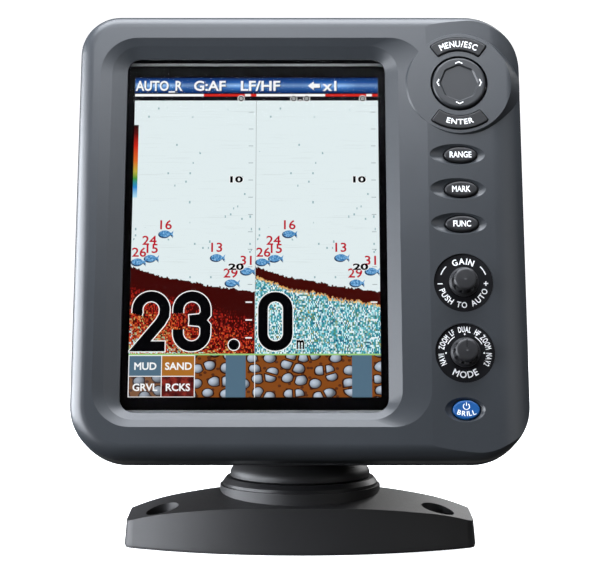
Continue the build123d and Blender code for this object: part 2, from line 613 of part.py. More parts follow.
def control_body(v):
    """The square case, its bushing, the bore and the chamber of a rotary control."""
    place = [(KEY_U, v)]
    extrude(boxes(BOARD_TOP, place, BODY_SIDE, BODY_SIDE), amount=INNER_WALL - BOARD_TOP)
    extrude(discs(INNER_WALL, place, BUSHING_RADIUS), amount=BUSHING_TOP - INNER_WALL)
    extrude(discs(-3.0, place, SHAFT_RADIUS + RUNNING), amount=12, mode=Mode.SUBTRACT)
    extrude(discs(-5.2, place, PLUNGER_RADIUS + 0.2), amount=2.4, mode=Mode.SUBTRACT)


with BuildPart() as gain_encoder:
    control_body(GAIN_V)
gain_encoder.part.label = "gain_encoder"
export_step(gain_encoder.part, "parts/gain_encoder.step")

with BuildPart() as mode_switch:
    control_body(MODE_V)
mode_switch.part.label = "mode_switch"
export_step(mode_switch.part, "parts/mode_switch.step")

dial_top = DIAL_FLOOR + DIAL_THICK

with BuildPart() as control_nuts:
    extrude(hexes(face.offset(dial_top), dial_places, 5.2), amount=1.5)
    extrude(discs(dial_top, dial_places, BUSHING_RADIUS + RUNNING), amount=1.5, mode=Mode.SUBTRACT)
control_nuts.part.label = "control_nuts"
export_step(control_nuts.part, "parts/control_nuts.step")

# ---- key board --------------------------------------------------------------------------------

BOARD_LEFT, BOARD_RIGHT, BOARD_FOOT, BOARD_HEAD = 62.0, 104.5, -97.5, 106.0
RIBBON_V, RIBBON_SOCKET, RIBBON_SOCKET_DEPTH = -20.0, (7.0, 26.0), 3.0
KEY_RIBBON_U, MAIN_RIBBON_U = 77.0, 64.0  # the key ribbon's socket on each board
LCD_RIBBON_V = -57.0
board_back = BOARD_TOP - BOARD_THICK
board_middle = [((BOARD_LEFT + BOARD_RIGHT) / 2, (BOARD_FOOT + BOARD_HEAD) / 2)]
board_size = (BOARD_RIGHT - BOARD_LEFT, BOARD_HEAD - BOARD_FOOT)

with BuildPart() as key_board:
    extrude(boxes(board_back, board_middle, *board_size), amount=BOARD_THICK)
    extrude(
        discs(board_back, case_screw_places, CASE_BOSS_RADIUS + 0.6), amount=BOARD_THICK,
        mode=Mode.SUBTRACT,
    )
    extrude(
        discs(board_back, key_post_places, SMALL_SCREW_RADIUS + 0.2), amount=BOARD_THICK,
        mode=Mode.SUBTRACT,
    )
    # the socket for the ribbon, on the back
    ribbon_socket = boxes(board_back, [(KEY_RIBBON_U, RIBBON_V)], *RIBBON_SOCKET)
    extrude(ribbon_socket, amount=-RIBBON_SOCKET_DEPTH)
key_board.part.label = "key_board"
export_step(key_board.part, "parts/key_board.step")

dome_places = [(KEY_U, v) for v in (*OVAL_V, POWER_V, PAD_V + ARC_MIDDLE, PAD_V - ARC_MIDDLE)]
nudge_places = [(KEY_U + 8, PAD_V), (KEY_U - 8, PAD_V), (KEY_U, PAD_V + 8), (KEY_U, PAD_V - 8)]

with BuildPart() as key_mat:
    extrude(boxes(BOARD_TOP, board_middle, board_size[0] - 2, board_size[1] - 2), amount=MAT_THICK)
    for places, radius in (
        (case_screw_places, CASE_BOSS_RADIUS + 1.6),
        (key_post_places, KEY_POST_RADIUS + 0.4),
    ):
        extrude(discs(BOARD_TOP, places, radius), amount=MAT_THICK, mode=Mode.SUBTRACT)
    openings = boxes(BOARD_TOP, dial_places, BODY_SIDE + 1, BODY_SIDE + 1)
    extrude(openings, amount=MAT_THICK, mode=Mode.SUBTRACT)
    extrude(discs(DOME_FOOT, dome_places, 4.2), amount=DOME_TOP - DOME_FOOT, taper=35)
    extrude(discs(DOME_FOOT, nudge_places, 2.2), amount=0.8, taper=35)
key_mat.part.label = "key_mat"
export_step(key_mat.part, "parts/key_mat.step")

# ---- main board, power board and what they carry ----------------------------------------------

MAIN_FRONT, MAIN_BACK = -22.4, -24.0
POWER_FRONT, POWER_BACK = -40.4, -42.0
MAIN_MIDDLE, MAIN_SIZE = (-10.0, 13.0), (160.0, 150.0)
POWER_MIDDLE, POWER_BOARD_SIZE = (-45.0, 15.0), (80.0, 60.0)
main_standoff_places = [(u, v) for u in (-85.0, 40.0) for v in (-55.0, 80.0)]
power_standoff_places = [(u, v) for u in (-80.0, -10.0) for v in (-10.0, 40.0)]
STANDOFF_RADIUS = 2.9

with BuildPart() as main_board:
    extrude(boxes(MAIN_BACK, [MAIN_MIDDLE], *MAIN_SIZE), amount=MAIN_FRONT - MAIN_BACK)
    for places in (main_standoff_places, power_standoff_places):
        extrude(
            discs(MAIN_BACK, places, SMALL_SCREW_RADIUS + 0.2), amount=2, mode=Mode.SUBTRACT
        )
main_board.part.label = "main_board"
export_step(main_board.part, "parts/main_board.step")

with BuildPart() as main_board_parts:
    # shield can, processor, memory, sockets for the cables and storage capacitors
    extrude(boxes(MAIN_BACK, [(-40, 26)], 52, 40), amount=-5)
    fillet(main_board_parts.edges().filter_by(Axis((0, 0, 0), face.z_dir)), 1.5)
    extrude(boxes(MAIN_BACK, [(22, 42)], 28, 28), amount=-3)
    extrude(boxes(MAIN_BACK, [(52, 52), (52, 32)], 12, 16), amount=-1.4)
    extrude(boxes(MAIN_BACK, [(-60, -50), (-20, -50), (16, -50)], 26, 9), amount=-7)
    extrude(boxes(MAIN_BACK, [(20, 4), (34, 4), (48, 4)], 9, 9), amount=-4)
    extrude(discs(MAIN_BACK, [(20, -20), (32, -20), (44, -20), (56, -20)], 4), amount=-10)
    # the socket for the key board's ribbon, on the front
    key_socket = boxes(MAIN_FRONT, [(MAIN_RIBBON_U, RIBBON_V)], *RIBBON_SOCKET)
    extrude(key_socket, amount=RIBBON_SOCKET_DEPTH)
    # the socket for the screen's ribbon, on the front
    lcd_socket = boxes(MAIN_FRONT, [(-30, LCD_RIBBON_V)], 44, 5)
    extrude(lcd_socket, amount=RIBBON_SOCKET_DEPTH)
main_board_parts.part.label = "main_board_parts"
export_step(main_board_parts.part, "parts/main_board_parts.step")

BUZZER_PLACE, BUZZER_RADIUS, BUZZER_HEIGHT = (50.0, 76.0), 8.0, 8.0

with BuildPart() as buzzer:
    extrude(discs(MAIN_BACK, [BUZZER_PLACE], BUZZER_RADIUS), amount=-BUZZER_HEIGHT)
    fillet(buzzer.faces().sort_by(OUTWARD)[0].edges(), 0.8)
    sound_hole = discs(MAIN_BACK - BUZZER_HEIGHT, [BUZZER_PLACE], 1.2)
    extrude(sound_hole, amount=2, mode=Mode.SUBTRACT)
buzzer.part.label = "buzzer"
export_step(buzzer.part, "parts/buzzer.step")

with BuildPart() as board_standoffs:
    extrude(hexes(face.offset(MAIN_FRONT), main_standoff_places, STANDOFF_RADIUS),
            amount=FRAME_BACK - MAIN_FRONT)
    extrude(hexes(face.offset(POWER_FRONT), power_standoff_places, STANDOFF_RADIUS),
            amount=MAIN_BACK - POWER_FRONT)
    for w, places in ((MAIN_FRONT, main_standoff_places), (POWER_FRONT, power_standoff_places)):
        extrude(
            discs(w, places, SMALL_SCREW_RADIUS + RUNNING), amount=SMALL_SCREW_LENGTH,
            mode=Mode.SUBTRACT,
        )
board_standoffs.part.label = "board_standoffs"
export_step(board_standoffs.part, "parts/board_standoffs.step")

with BuildPart() as power_board:
    extrude(boxes(POWER_BACK, [POWER_MIDDLE], *POWER_BOARD_SIZE), amount=POWER_FRONT - POWER_BACK)
    extrude(
        discs(POWER_BACK, power_standoff_places, SMALL_SCREW_RADIUS + 0.2), amount=2,
        mode=Mode.SUBTRACT,
    )
power_board.part.label = "power_board"
export_step(power_board.part, "parts/power_board.step")

with BuildPart() as power_parts:
    # transformer, storage capacitors, heat sink and terminal block
    extrude(boxes(POWER_BACK, [(-30, 24)], 24, 20), amount=-10)
    extrude(boxes(POWER_BACK, [(-30, 24)], 16, 24), amount=-8)
    extrude(discs(POWER_BACK, [(-60, 30), (-60, 14), (-72, 22)], 5), amount=-11)
    for step in range(5):
        extrude(boxes(POWER_BACK, [(-44 + 5 * step, 2)], 1.6, 12), amount=-9)
    extrude(boxes(POWER_BACK, [(-34, 2)], 22, 12), amount=-2)
    extrude(boxes(POWER_BACK, [(-62, -6)], 20, 8), amount=-8)
power_parts.part.label = "power_parts"
export_step(power_parts.part, "parts/power_parts.step")

small_screw_sets = (
    (FRAME_BACK, lug_places),
    (board_back, key_post_places),
    (MAIN_BACK, main_standoff_places),
    (POWER_BACK, power_standoff_places),
)

with BuildPart() as board_screws:
    for seat, places in small_screw_sets:
        extrude(discs(seat, places, SMALL_SCREW_HEAD_RADIUS), amount=-SMALL_SCREW_HEAD)
        extrude(discs(seat, places, SMALL_SCREW_RADIUS), amount=SMALL_SCREW_LENGTH)
        for turn in (0, 90):
            with BuildSketch(face.offset(seat - SMALL_SCREW_HEAD)) as drive:
                with Locations(*places):
                    Rectangle(2.6, 0.6, rotation=turn)
            extrude(drive.sketch, amount=1.0, mode=Mode.SUBTRACT)
board_screws.part.label = "board_screws"
export_step(board_screws.part, "parts/board_screws.step")


def ribbon(plane, points):
    """A flat cable seen from its edge."""
    with BuildSketch(plane) as profile:
        with BuildLine() as path:
            FilletPolyline(*points, radius=1.5)
        trace(path.line, line_width=0.4)
    return profile.sketch


with BuildPart() as key_ribbon:
    key_path = [
        (KEY_RIBBON_U, board_back - RIBBON_SOCKET_DEPTH), (KEY_RIBBON_U, -14), (MAIN_RIBBON_U, -16.5),
        (MAIN_RIBBON_U, MAIN_FRONT + RIBBON_SOCKET_DEPTH),
    ]
    extrude(ribbon(across(0, -8), key_path), amount=24)
key_ribbon.part.label = "key_ribbon"
export_step(key_ribbon.part, "parts/key_ribbon.step")

with BuildPart() as lcd_ribbon:
    tray_foot = -tray_height / 2
    lcd_path = [
        (tray_foot, -8), (tray_foot - 2.5, -8), (tray_foot - 2.5, -17.5), (LCD_RIBBON_V, -17.5),
        (LCD_RIBBON_V, MAIN_FRONT + RIBBON_SOCKET_DEPTH),
    ]
    extrude(ribbon(lengthwise(-50), lcd_path), amount=40)
lcd_ribbon.part.label = "lcd_ribbon"
export_step(lcd_ribbon.part, "parts/lcd_ribbon.step")

# ---- rear cover and what it carries -----------------------------------------------------------

FLANGE_BACK_W = PARTING - FLANGE
GROOVE_OUTER, GROOVE_INNER, GROOVE_DEPTH = -1.0, -2.2, 1.5
PAD_HALF, PLATE_TOP, PLATE_BOTTOM = 26.0, -77.0, -81.0
PLATE_HALF, PLATE_BACK, PLATE_FRONT = 24.0, -58.0, -38.0
bracket_screw_places = [(u, w) for u in (-19.0, 19.0) for w in (-42.5, -53.5)]
BRACKET_SCREW_RADIUS = 1.9
RIBS, RIB_PITCH, RIB_V = 15, 10.0, 28.0
RIB_LENGTH, RIB_WIDTH, RIB_HEIGHT = 96.0, 2.4, 3.2
PAD_END = -68.0  # the bracket's pad reaches this far up the cover

socket_places = [(-60.0, -45.0), (-25.0, -45.0)]
SOCKET_RADIUS, SOCKET_FLANGE_RADIUS, SOCKET_TAIL_RADIUS = 10.0, 13.0, 9.0
SEAL_THICK, SOCKET_END, SOCKET_TAIL = 0.8, -70.0, -50.0
ground_place = [(20.0, -52.0)]
vent_place = [(55.0, -45.0)]


def rear_section(step, inset=0.0):
    """The outline of the rear cover's body at one of its steps."""
    w, half_width, bottom, top = step
    return four_sided(
        face.offset(w), inset - half_width, bottom + inset, half_width - inset, top - inset,
        REAR_RADIUS - inset,
    )


rear_floor = REAR_BACK + WALL
last, before = REAR_STEPS[-1], REAR_STEPS[-2]
share = (rear_floor - before[0]) / (last[0] - before[0])
floor_step = (rear_floor, *[a + share * (b - a) for a, b in zip(before[1:], last[1:])])

with BuildPart() as rear_hollow:
    loft([rear_section(REAR_STEPS[0], WALL), rear_section(before, WALL)])
    loft([rear_section(before, WALL), rear_section(floor_step, WALL)])
    mouth = rear_section((PARTING, *REAR_STEPS[0][1:]), WALL)
    extrude(mouth, amount=-FLANGE)

with BuildPart() as rear_cover:
    loft([rear_section(REAR_STEPS[0]), rear_section(before)])
    loft([rear_section(before), rear_section(last)])
    fillet(rear_cover.faces().sort_by(OUTWARD)[0].edges(), 5)
    extrude(case_outline(FLANGE_BACK_W, FLANGE_PROUD), amount=FLANGE)
    # the pad that the tilt bracket is screwed to
    with BuildSketch(face.offset(PLATE_BACK - 0.5)) as pad_foot:
        with Locations((0, (PLATE_TOP + PAD_END) / 2)):
            Rectangle(2 * PAD_HALF, PAD_END - PLATE_TOP)
    extrude(amount=PLATE_FRONT + 2.5 - PLATE_BACK)
    # cooling ribs
    for index in range(RIBS):
        with BuildSketch(face.offset(REAR_BACK)):
            with Locations(((index - (RIBS - 1) / 2) * RIB_PITCH, RIB_V)):
                SlotOverall(RIB_LENGTH, RIB_WIDTH, rotation=90)
        extrude(amount=-RIB_HEIGHT)
    add(rear_hollow.part, mode=Mode.SUBTRACT)
    # groove for the case gasket and seats for the case screws
    groove = case_outline(PARTING - GROOVE_DEPTH, GROOVE_OUTER)
    extrude(groove, amount=GROOVE_DEPTH, mode=Mode.SUBTRACT)
    extrude(case_outline(PARTING - GROOVE_DEPTH, GROOVE_INNER), amount=GROOVE_DEPTH)
    extrude(mouth, amount=-FLANGE, mode=Mode.SUBTRACT)
    extrude(
        discs(FLANGE_BACK_W, case_screw_places, CASE_SCREW_RADIUS + 0.3), amount=FLANGE,
        mode=Mode.SUBTRACT,
    )
    extrude(
        discs(FLANGE_BACK_W, case_screw_places, CASE_SCREW_HEAD_RADIUS + 0.2),
        amount=CASE_SCREW_HEAD, mode=Mode.SUBTRACT,
    )
    # holes for the sockets, the ground screw, the vent and the bracket
    extrude(
        discs(REAR_BACK, socket_places, SOCKET_TAIL_RADIUS + 0.2), amount=WALL, mode=Mode.SUBTRACT
    )
    extrude(discs(REAR_BACK, vent_place, 4.1), amount=WALL, mode=Mode.SUBTRACT)
    extrude(discs(REAR_BACK, ground_place, 5.0), amount=WALL + 5)
    extrude(discs(REAR_BACK - 1, ground_place, 2.05), amount=WALL + 4, mode=Mode.SUBTRACT)
    bracket_plane = Plane(
        origin=face.from_local_coords(Vector(0, PLATE_TOP, 0)), x_dir=face.x_dir, z_dir=-face.y_dir
    )
    with BuildSketch(bracket_plane) as bracket_holes:
        with Locations(*bracket_screw_places):
            Circle(BRACKET_SCREW_RADIUS + RUNNING)
    extrude(bracket_holes.sketch, amount=-5, mode=Mode.SUBTRACT)
rear_cover.part.label = "rear_cover"
export_step(rear_cover.part, "parts/rear_cover.step")

with BuildPart() as case_gasket:
    gasket_depth = GROOVE_DEPTH - 0.05
    extrude(case_outline(PARTING, GROOVE_OUTER - 0.05), amount=-gasket_depth)
    extrude(case_outline(PARTING, GROOVE_INNER + 0.05), amount=-gasket_depth, mode=Mode.SUBTRACT)
case_gasket.part.label = "case_gasket"
export_step(case_gasket.part, "parts/case_gasket.step")

with BuildPart() as case_screws:
    extrude(
        discs(FLANGE_BACK_W, case_screw_places, CASE_SCREW_HEAD_RADIUS), amount=CASE_SCREW_HEAD
    )
    extrude(hexes(face.offset(FLANGE_BACK_W), case_screw_places, 1.7), amount=1.4, mode=Mode.SUBTRACT)
    shank_foot = FLANGE_BACK_W + CASE_SCREW_HEAD
    extrude(
        discs(shank_foot, case_screw_places, CASE_SCREW_RADIUS), amount=CASE_SCREW_TIP - shank_foot
    )
case_screws.part.label = "case_screws"
export_step(case_screws.part, "parts/case_screws.step")

with BuildPart() as socket_seals:
    extrude(
        discs(REAR_BACK, socket_places, SOCKET_FLANGE_RADIUS - 0.5, SOCKET_TAIL_RADIUS + 0.2),
        amount=-SEAL_THICK,
    )
socket_seals.part.label = "socket_seals"
export_step(socket_seals.part, "parts/socket_seals.step")

seal_back = REAR_BACK - SEAL_THICK
SHELL_INNER, CUP_FLOOR = 8.3, -61.0


def socket_shell(place):
    """A round panel socket: tail, flange, barrel with bayonet notches and an open cup."""
    extrude(discs(SOCKET_TAIL, [place], SOCKET_TAIL_RADIUS), amount=seal_back - SOCKET_TAIL)
    extrude(discs(seal_back, [place], SOCKET_FLANGE_RADIUS), amount=-2.2)
    extrude(discs(seal_back, [place], SOCKET_RADIUS), amount=SOCKET_END - seal_back)
    extrude(discs(SOCKET_END, [place], SHELL_INNER), amount=CUP_FLOOR - SOCKET_END, mode=Mode.SUBTRACT)
    # a keyway inside the cup
    notch = boxes(SOCKET_END, [(place[0], place[1] + SHELL_INNER)], 2.4, 1.6)
    extrude(notch, amount=5, mode=Mode.SUBTRACT)


def socket_contacts_at(place, count, circle, radius):
    """The holes or pins that stand on the floor of the cup."""
    with BuildSketch(face.offset(CUP_FLOOR)) as profile:
        with Locations(place):
            with PolarLocations(circle, count):
                Circle(radius)
    return profile.sketch


TRANSDUCER_PINS, POWER_PINS = (7, 5.4), (3, 4.8)
CONTACT_RADIUS, CONTACT_LENGTH = 0.75, 6.5
INSERT_DEPTH = 1.2

with BuildPart() as transducer_socket:
    socket_shell(socket_places[0])
    pins = socket_contacts_at(socket_places[0], *TRANSDUCER_PINS, CONTACT_RADIUS)
    extrude(pins, amount=4, mode=Mode.SUBTRACT)
transducer_socket.part.label = "transducer_socket"
export_step(transducer_socket.part, "parts/transducer_socket.step")

with BuildPart() as power_socket:
    socket_shell(socket_places[1])
    pins = socket_contacts_at(socket_places[1], *POWER_PINS, CONTACT_RADIUS)
    extrude(pins, amount=4, mode=Mode.SUBTRACT)
power_socket.part.label = "power_socket"
export_step(power_socket.part, "parts/power_socket.step")

with BuildPart() as socket_contacts:
    for place, (count, circle) in zip(socket_places, (TRANSDUCER_PINS, POWER_PINS)):
        pins = socket_contacts_at(place, count, circle, CONTACT_RADIUS)
        extrude(pins, amount=3.9)
        extrude(pins, amount=-CONTACT_LENGTH)
socket_contacts.part.label = "socket_contacts"
export_step(socket_contacts.part, "parts/socket_contacts.step")

with BuildPart() as socket_nuts:
    extrude(hexes(face.offset(rear_floor), socket_places, 12.5), amount=3.2)
    extrude(
        discs(rear_floor, socket_places, SOCKET_TAIL_RADIUS + RUNNING), amount=3.2,
        mode=Mode.SUBTRACT,
    )
socket_nuts.part.label = "socket_nuts"
export_step(socket_nuts.part, "parts/socket_nuts.step")

with BuildPart() as ground_stud:
    extrude(discs(REAR_BACK - 1, ground_place, 2.0), amount=6)
    extrude(discs(REAR_BACK - 10, ground_place, 2.0), amount=9)
    extrude(hexes(face.offset(REAR_BACK - 3.4), ground_place, 4.0), amount=3.4)
ground_stud.part.label = "ground_stud"
export_step(ground_stud.part, "parts/ground_stud.step")

with BuildPart() as wing_nut:
    extrude(discs(REAR_BACK - 7.4, ground_place, 3.8), amount=4)
    extrude(boxes(REAR_BACK - 8.6, [(20 - 6, -52), (20 + 6, -52)], 8, 1.8), amount=3.6)
    extrude(discs(REAR_BACK - 9, ground_place, 2.0 + RUNNING), amount=7, mode=Mode.SUBTRACT)
wing_nut.part.label = "wing_nut"
export_step(wing_nut.part, "parts/wing_nut.step")

with BuildPart() as vent_plug:
    extrude(discs(REAR_BACK + 4, vent_place, 4.0), amount=-4)
    extrude(discs(REAR_BACK, vent_place, 7.0), amount=-2.4)
    fillet(vent_plug.faces().sort_by(OUTWARD)[0].edges(), 0.8)
    with BuildSketch(face.offset(REAR_BACK - 2.4)) as vent_slots:
        with Locations(*vent_place):
            with PolarLocations(4.4, 6):
                Rectangle(2.6, 1.0)
    extrude(amount=1.4, mode=Mode.SUBTRACT)
vent_plug.part.label = "vent_plug"
export_step(vent_plug.part, "parts/vent_plug.step")

# ---- tilt bracket, pin and clamp --------------------------------------------------------------

SCREW_SEAT = 2.6  # the bracket screws' heads are sunk by this much

with BuildPart() as tilt_bracket:
    with BuildSketch(lengthwise(-TONGUE_HALF)) as tongue:
        with Locations((PIVOT_V, PIVOT_W)):
            Circle(BARREL_RADIUS)
        with Locations(((PIVOT_V + PLATE_BOTTOM) / 2, PIVOT_W)):
            Rectangle(PLATE_BOTTOM - PIVOT_V, PLATE_FRONT - PLATE_BACK)
    extrude(amount=2 * TONGUE_HALF)
    with BuildSketch(across(0, PLATE_TOP)) as plate:
        with Locations((0, (PLATE_BACK + PLATE_FRONT) / 2)):
            RectangleRounded(2 * PLATE_HALF, PLATE_FRONT - PLATE_BACK, 3)
    extrude(plate.sketch, amount=PLATE_TOP - PLATE_BOTTOM)
    with BuildSketch(lengthwise(-TONGUE_HALF - 1)) as bore:
        with Locations((PIVOT_V, PIVOT_W)):
            Circle(PIN_RADIUS + RUNNING)
    extrude(bore.sketch, amount=2 * TONGUE_HALF + 2, mode=Mode.SUBTRACT)
    with BuildSketch(across(0, PLATE_TOP)) as through:
        with Locations(*bracket_screw_places):
            Circle(BRACKET_SCREW_RADIUS + 0.3)
    extrude(through.sketch, amount=PLATE_TOP - PLATE_BOTTOM, mode=Mode.SUBTRACT)
    with BuildSketch(across(0, PLATE_BOTTOM)) as seats:
        with Locations(*bracket_screw_places):
            Circle(3.7)
    extrude(seats.sketch, amount=-SCREW_SEAT, mode=Mode.SUBTRACT)
tilt_bracket.part.label = "tilt_bracket"
export_step(tilt_bracket.part, "parts/tilt_bracket.step")

with BuildPart() as bracket_screws:
    with BuildSketch(across(0, PLATE_BOTTOM)) as heads:
        with Locations(*bracket_screw_places):
            Circle(3.5)
    extrude(heads.sketch, amount=-SCREW_SEAT)
    with BuildSketch(across(0, PLATE_BOTTOM)) as drives:
        with Locations(*bracket_screw_places):
            RegularPolygon(1.7, 6)
    extrude(drives.sketch, amount=-1.4, mode=Mode.SUBTRACT)
    with BuildSketch(across(0, PLATE_BOTTOM + SCREW_SEAT)) as shanks:
        with Locations(*bracket_screw_places):
            Circle(BRACKET_SCREW_RADIUS)
    extrude(shanks.sketch, amount=-5.5)
bracket_screws.part.label = "bracket_screws"
export_step(bracket_screws.part, "parts/bracket_screws.step")


def pivot_disc(x, radius, inner=0.0):
    """A circle or ring round the tilt axis, on the upright plane at x."""
    with BuildSketch(Plane.YZ.offset(x)) as profile:
        with Locations((pivot.Y, pivot.Z)):
            Circle(radius)
            if inner:
                Circle(inner, mode=Mode.SUBTRACT)
    return profile.sketch


PIN_HEAD_RADIUS, PIN_HEAD, PIN_END = 8.0, 3.5, 38.0
CLAMP_WASHER_THICK, CLAMP_WASHER_RADIUS = 2.0, 10.0

with BuildPart() as tilt_pin:
    extrude(pivot_disc(-EAR_OUTER - PIN_HEAD, PIN_HEAD_RADIUS), amount=PIN_HEAD)
    chamfer(tilt_pin.faces().sort_by(Axis.X)[0].edges(), 0.8)
    extrude(pivot_disc(-EAR_OUTER, PIN_RADIUS), amount=PIN_END + EAR_OUTER)
    chamfer(tilt_pin.faces().sort_by(Axis.X)[-1].edges(), 0.8)
tilt_pin.part.label = "tilt_pin"
export_step(tilt_pin.part, "parts/tilt_pin.step")

with BuildPart() as tilt_washers:
    for x in (-EAR_INNER, TONGUE_HALF):
        extrude(pivot_disc(x, 10.5, PIN_RADIUS + RUNNING), amount=EAR_INNER - TONGUE_HALF)
tilt_washers.part.label = "tilt_washers"
export_step(tilt_washers.part, "parts/tilt_washers.step")

with BuildPart() as clamp_washer:
    extrude(pivot_disc(EAR_OUTER, CLAMP_WASHER_RADIUS, PIN_RADIUS + RUNNING), amount=CLAMP_WASHER_THICK)
clamp_washer.part.label = "clamp_washer"
export_step(clamp_washer.part, "parts/clamp_washer.step")

knob_foot = EAR_OUTER + CLAMP_WASHER_THICK
knob_end = knob_foot + CLAMP_KNOB_LENGTH

with BuildPart() as clamp_knob:
    with BuildSketch(Plane.XZ.offset(-pivot.Y)) as knob_half:
        with BuildLine():
            Polyline(
                (knob_foot, pivot.Z), (knob_foot, pivot.Z + 9), (knob_foot + 3, pivot.Z + 9),
                (knob_foot + 5, pivot.Z + CLAMP_KNOB_RADIUS - 1),
                (knob_foot + 6, pivot.Z + CLAMP_KNOB_RADIUS),
                (knob_end - 3, pivot.Z + CLAMP_KNOB_RADIUS),
            )
            RadiusArc(
                (knob_end - 3, pivot.Z + CLAMP_KNOB_RADIUS),
                (knob_end, pivot.Z + CLAMP_KNOB_RADIUS - 3), 3,
            )
            Polyline(
                (knob_end, pivot.Z + CLAMP_KNOB_RADIUS - 3), (knob_end, pivot.Z + 7),
                (knob_end - 1, pivot.Z + 6), (knob_end - 1, pivot.Z), (knob_foot, pivot.Z),
            )
        make_face()
    revolve(knob_half.sketch, axis=Axis((0, pivot.Y, pivot.Z), (1, 0, 0)))
    # finger scallops
    with BuildSketch(Plane.YZ.offset(knob_foot + 4)) as scallops:
        with Locations((pivot.Y, pivot.Z)):
            with PolarLocations(CLAMP_KNOB_RADIUS + 3.2, 7):
                Circle(5.0)
    extrude(scallops.sketch, amount=CLAMP_KNOB_LENGTH, mode=Mode.SUBTRACT)
    bore_end = PIN_END + 1
    extrude(pivot_disc(knob_foot, PIN_RADIUS + RUNNING), amount=bore_end - knob_foot,
            mode=Mode.SUBTRACT)
clamp_knob.part.label = "clamp_knob"
export_step(clamp_knob.part, "parts/clamp_knob.step")

# ---- turret and swivel ------------------------------------------------------------------------

BOLT_RADIUS, BOLT_HEAD_FOOT, BOLT_HEAD = 4.0, 38.0, 5.3
FRICTION_INNER, FRICTION_OUTER = 20.0, 30.0
WASHER_RADIUS, WASHER_FOOT, WASHER_TOP = 16.0, 6.0, 8.0
SWIVEL_NUT_FOOT = 1.5
COLLAR_INNER, COLLAR_TOP = 31.0, 34.0

with BuildPart() as swivel_turret:
    with BuildSketch(Plane.XZ) as turret_half:
        with BuildLine():
            Polyline(
                (0, TURRET_FOOT), (TURRET_RADIUS - 0.6, TURRET_FOOT),
                (TURRET_RADIUS, TURRET_FOOT + 0.6), (TURRET_RADIUS, 36.0),
            )
            Spline(
                (TURRET_RADIUS, 36.0), (36.0, 39.5), (31.5, 43.3), (24.0, TURRET_TOP),
                tangents=[(0, 1), (-1, 0.12)],
            )
            Polyline((24.0, TURRET_TOP), (0, TURRET_TOP), (0, TURRET_FOOT))
        make_face()
    revolve(turret_half.sketch, axis=Axis.Z)
    # the two ears
    with BuildSketch(Plane.YZ) as ear:
        with Locations((pivot.Y, pivot.Z)):
            Circle(EAR_RADIUS)
        with BuildLine():
            Polyline(
                (pivot.Y - EAR_RADIUS, pivot.Z), (pivot.Y - EAR_RADIUS - 2.5, 40),
                (pivot.Y + EAR_RADIUS + 5, 40), (pivot.Y + EAR_RADIUS, pivot.Z), close=True,
            )
        make_face()
    for x in (-EAR_OUTER, EAR_INNER):
        extrude(ear.sketch.moved(Location((x, 0, 0))), amount=EAR_OUTER - EAR_INNER)
    extrude(pivot_disc(-EAR_OUTER - 1, PIN_RADIUS + RUNNING), amount=2 * EAR_OUTER + 2,
            mode=Mode.SUBTRACT)
    with BuildSketch(Plane.XY.offset(SPIGOT_BOTTOM)) as spigot:
        Circle(SPIGOT_RADIUS)
    extrude(spigot.sketch, amount=TURRET_FOOT - SPIGOT_BOTTOM)
    with BuildSketch(Plane.XY.offset(SPIGOT_BOTTOM)) as bolt_bore:
        Circle(BOLT_RADIUS + 0.2)
    extrude(bolt_bore.sketch, amount=TURRET_TOP, mode=Mode.SUBTRACT)
    with BuildSketch(Plane.XY.offset(BOLT_HEAD_FOOT)) as bolt_recess:
        RegularPolygon(7.8, 6)
    extrude(bolt_recess.sketch, amount=TURRET_TOP, mode=Mode.SUBTRACT)
swivel_turret.part.label = "swivel_turret"
export_step(swivel_turret.part, "parts/swivel_turret.step")

with BuildPart() as swivel_bolt:
    extrude(hexes(Plane.XY.offset(BOLT_HEAD_FOOT), [(0, 0)], 7.5), amount=BOLT_HEAD)
    with BuildSketch(Plane.XY.offset(SWIVEL_NUT_FOOT)) as bolt_shank:
        Circle(BOLT_RADIUS)
    extrude(bolt_shank.sketch, amount=BOLT_HEAD_FOOT - SWIVEL_NUT_FOOT)
swivel_bolt.part.label = "swivel_bolt"
export_step(swivel_bolt.part, "parts/swivel_bolt.step")

with BuildPart() as swivel_washer:
    with BuildSketch(Plane.XY.offset(WASHER_FOOT)) as washer_ring:
        Circle(WASHER_RADIUS)
        Circle(BOLT_RADIUS + 0.2, mode=Mode.SUBTRACT)
    extrude(washer_ring.sketch, amount=WASHER_TOP - WASHER_FOOT)
swivel_washer.part.label = "swivel_washer"
export_step(swivel_washer.part, "parts/swivel_washer.step")

with BuildPart() as swivel_nut:
    nut = hexes(Plane.XY.offset(SWIVEL_NUT_FOOT), [(0, 0)], 7.5)
    extrude(nut, amount=WASHER_FOOT - SWIVEL_NUT_FOOT)
    with BuildSketch(Plane.XY.offset(SWIVEL_NUT_FOOT)) as nut_bore:
        Circle(BOLT_RADIUS + RUNNING)
    extrude(nut_bore.sketch, amount=10, mode=Mode.SUBTRACT)
swivel_nut.part.label = "swivel_nut"
export_step(swivel_nut.part, "parts/swivel_nut.step")

with BuildPart() as friction_ring:
    with BuildSketch(Plane.XY.offset(HUB_TOP)) as friction_section:
        Circle(FRICTION_OUTER)
        Circle(FRICTION_INNER, mode=Mode.SUBTRACT)
    extrude(friction_section.sketch, amount=TURRET_FOOT - HUB_TOP)
friction_ring.part.label = "friction_ring"
export_step(friction_ring.part, "parts/friction_ring.step")

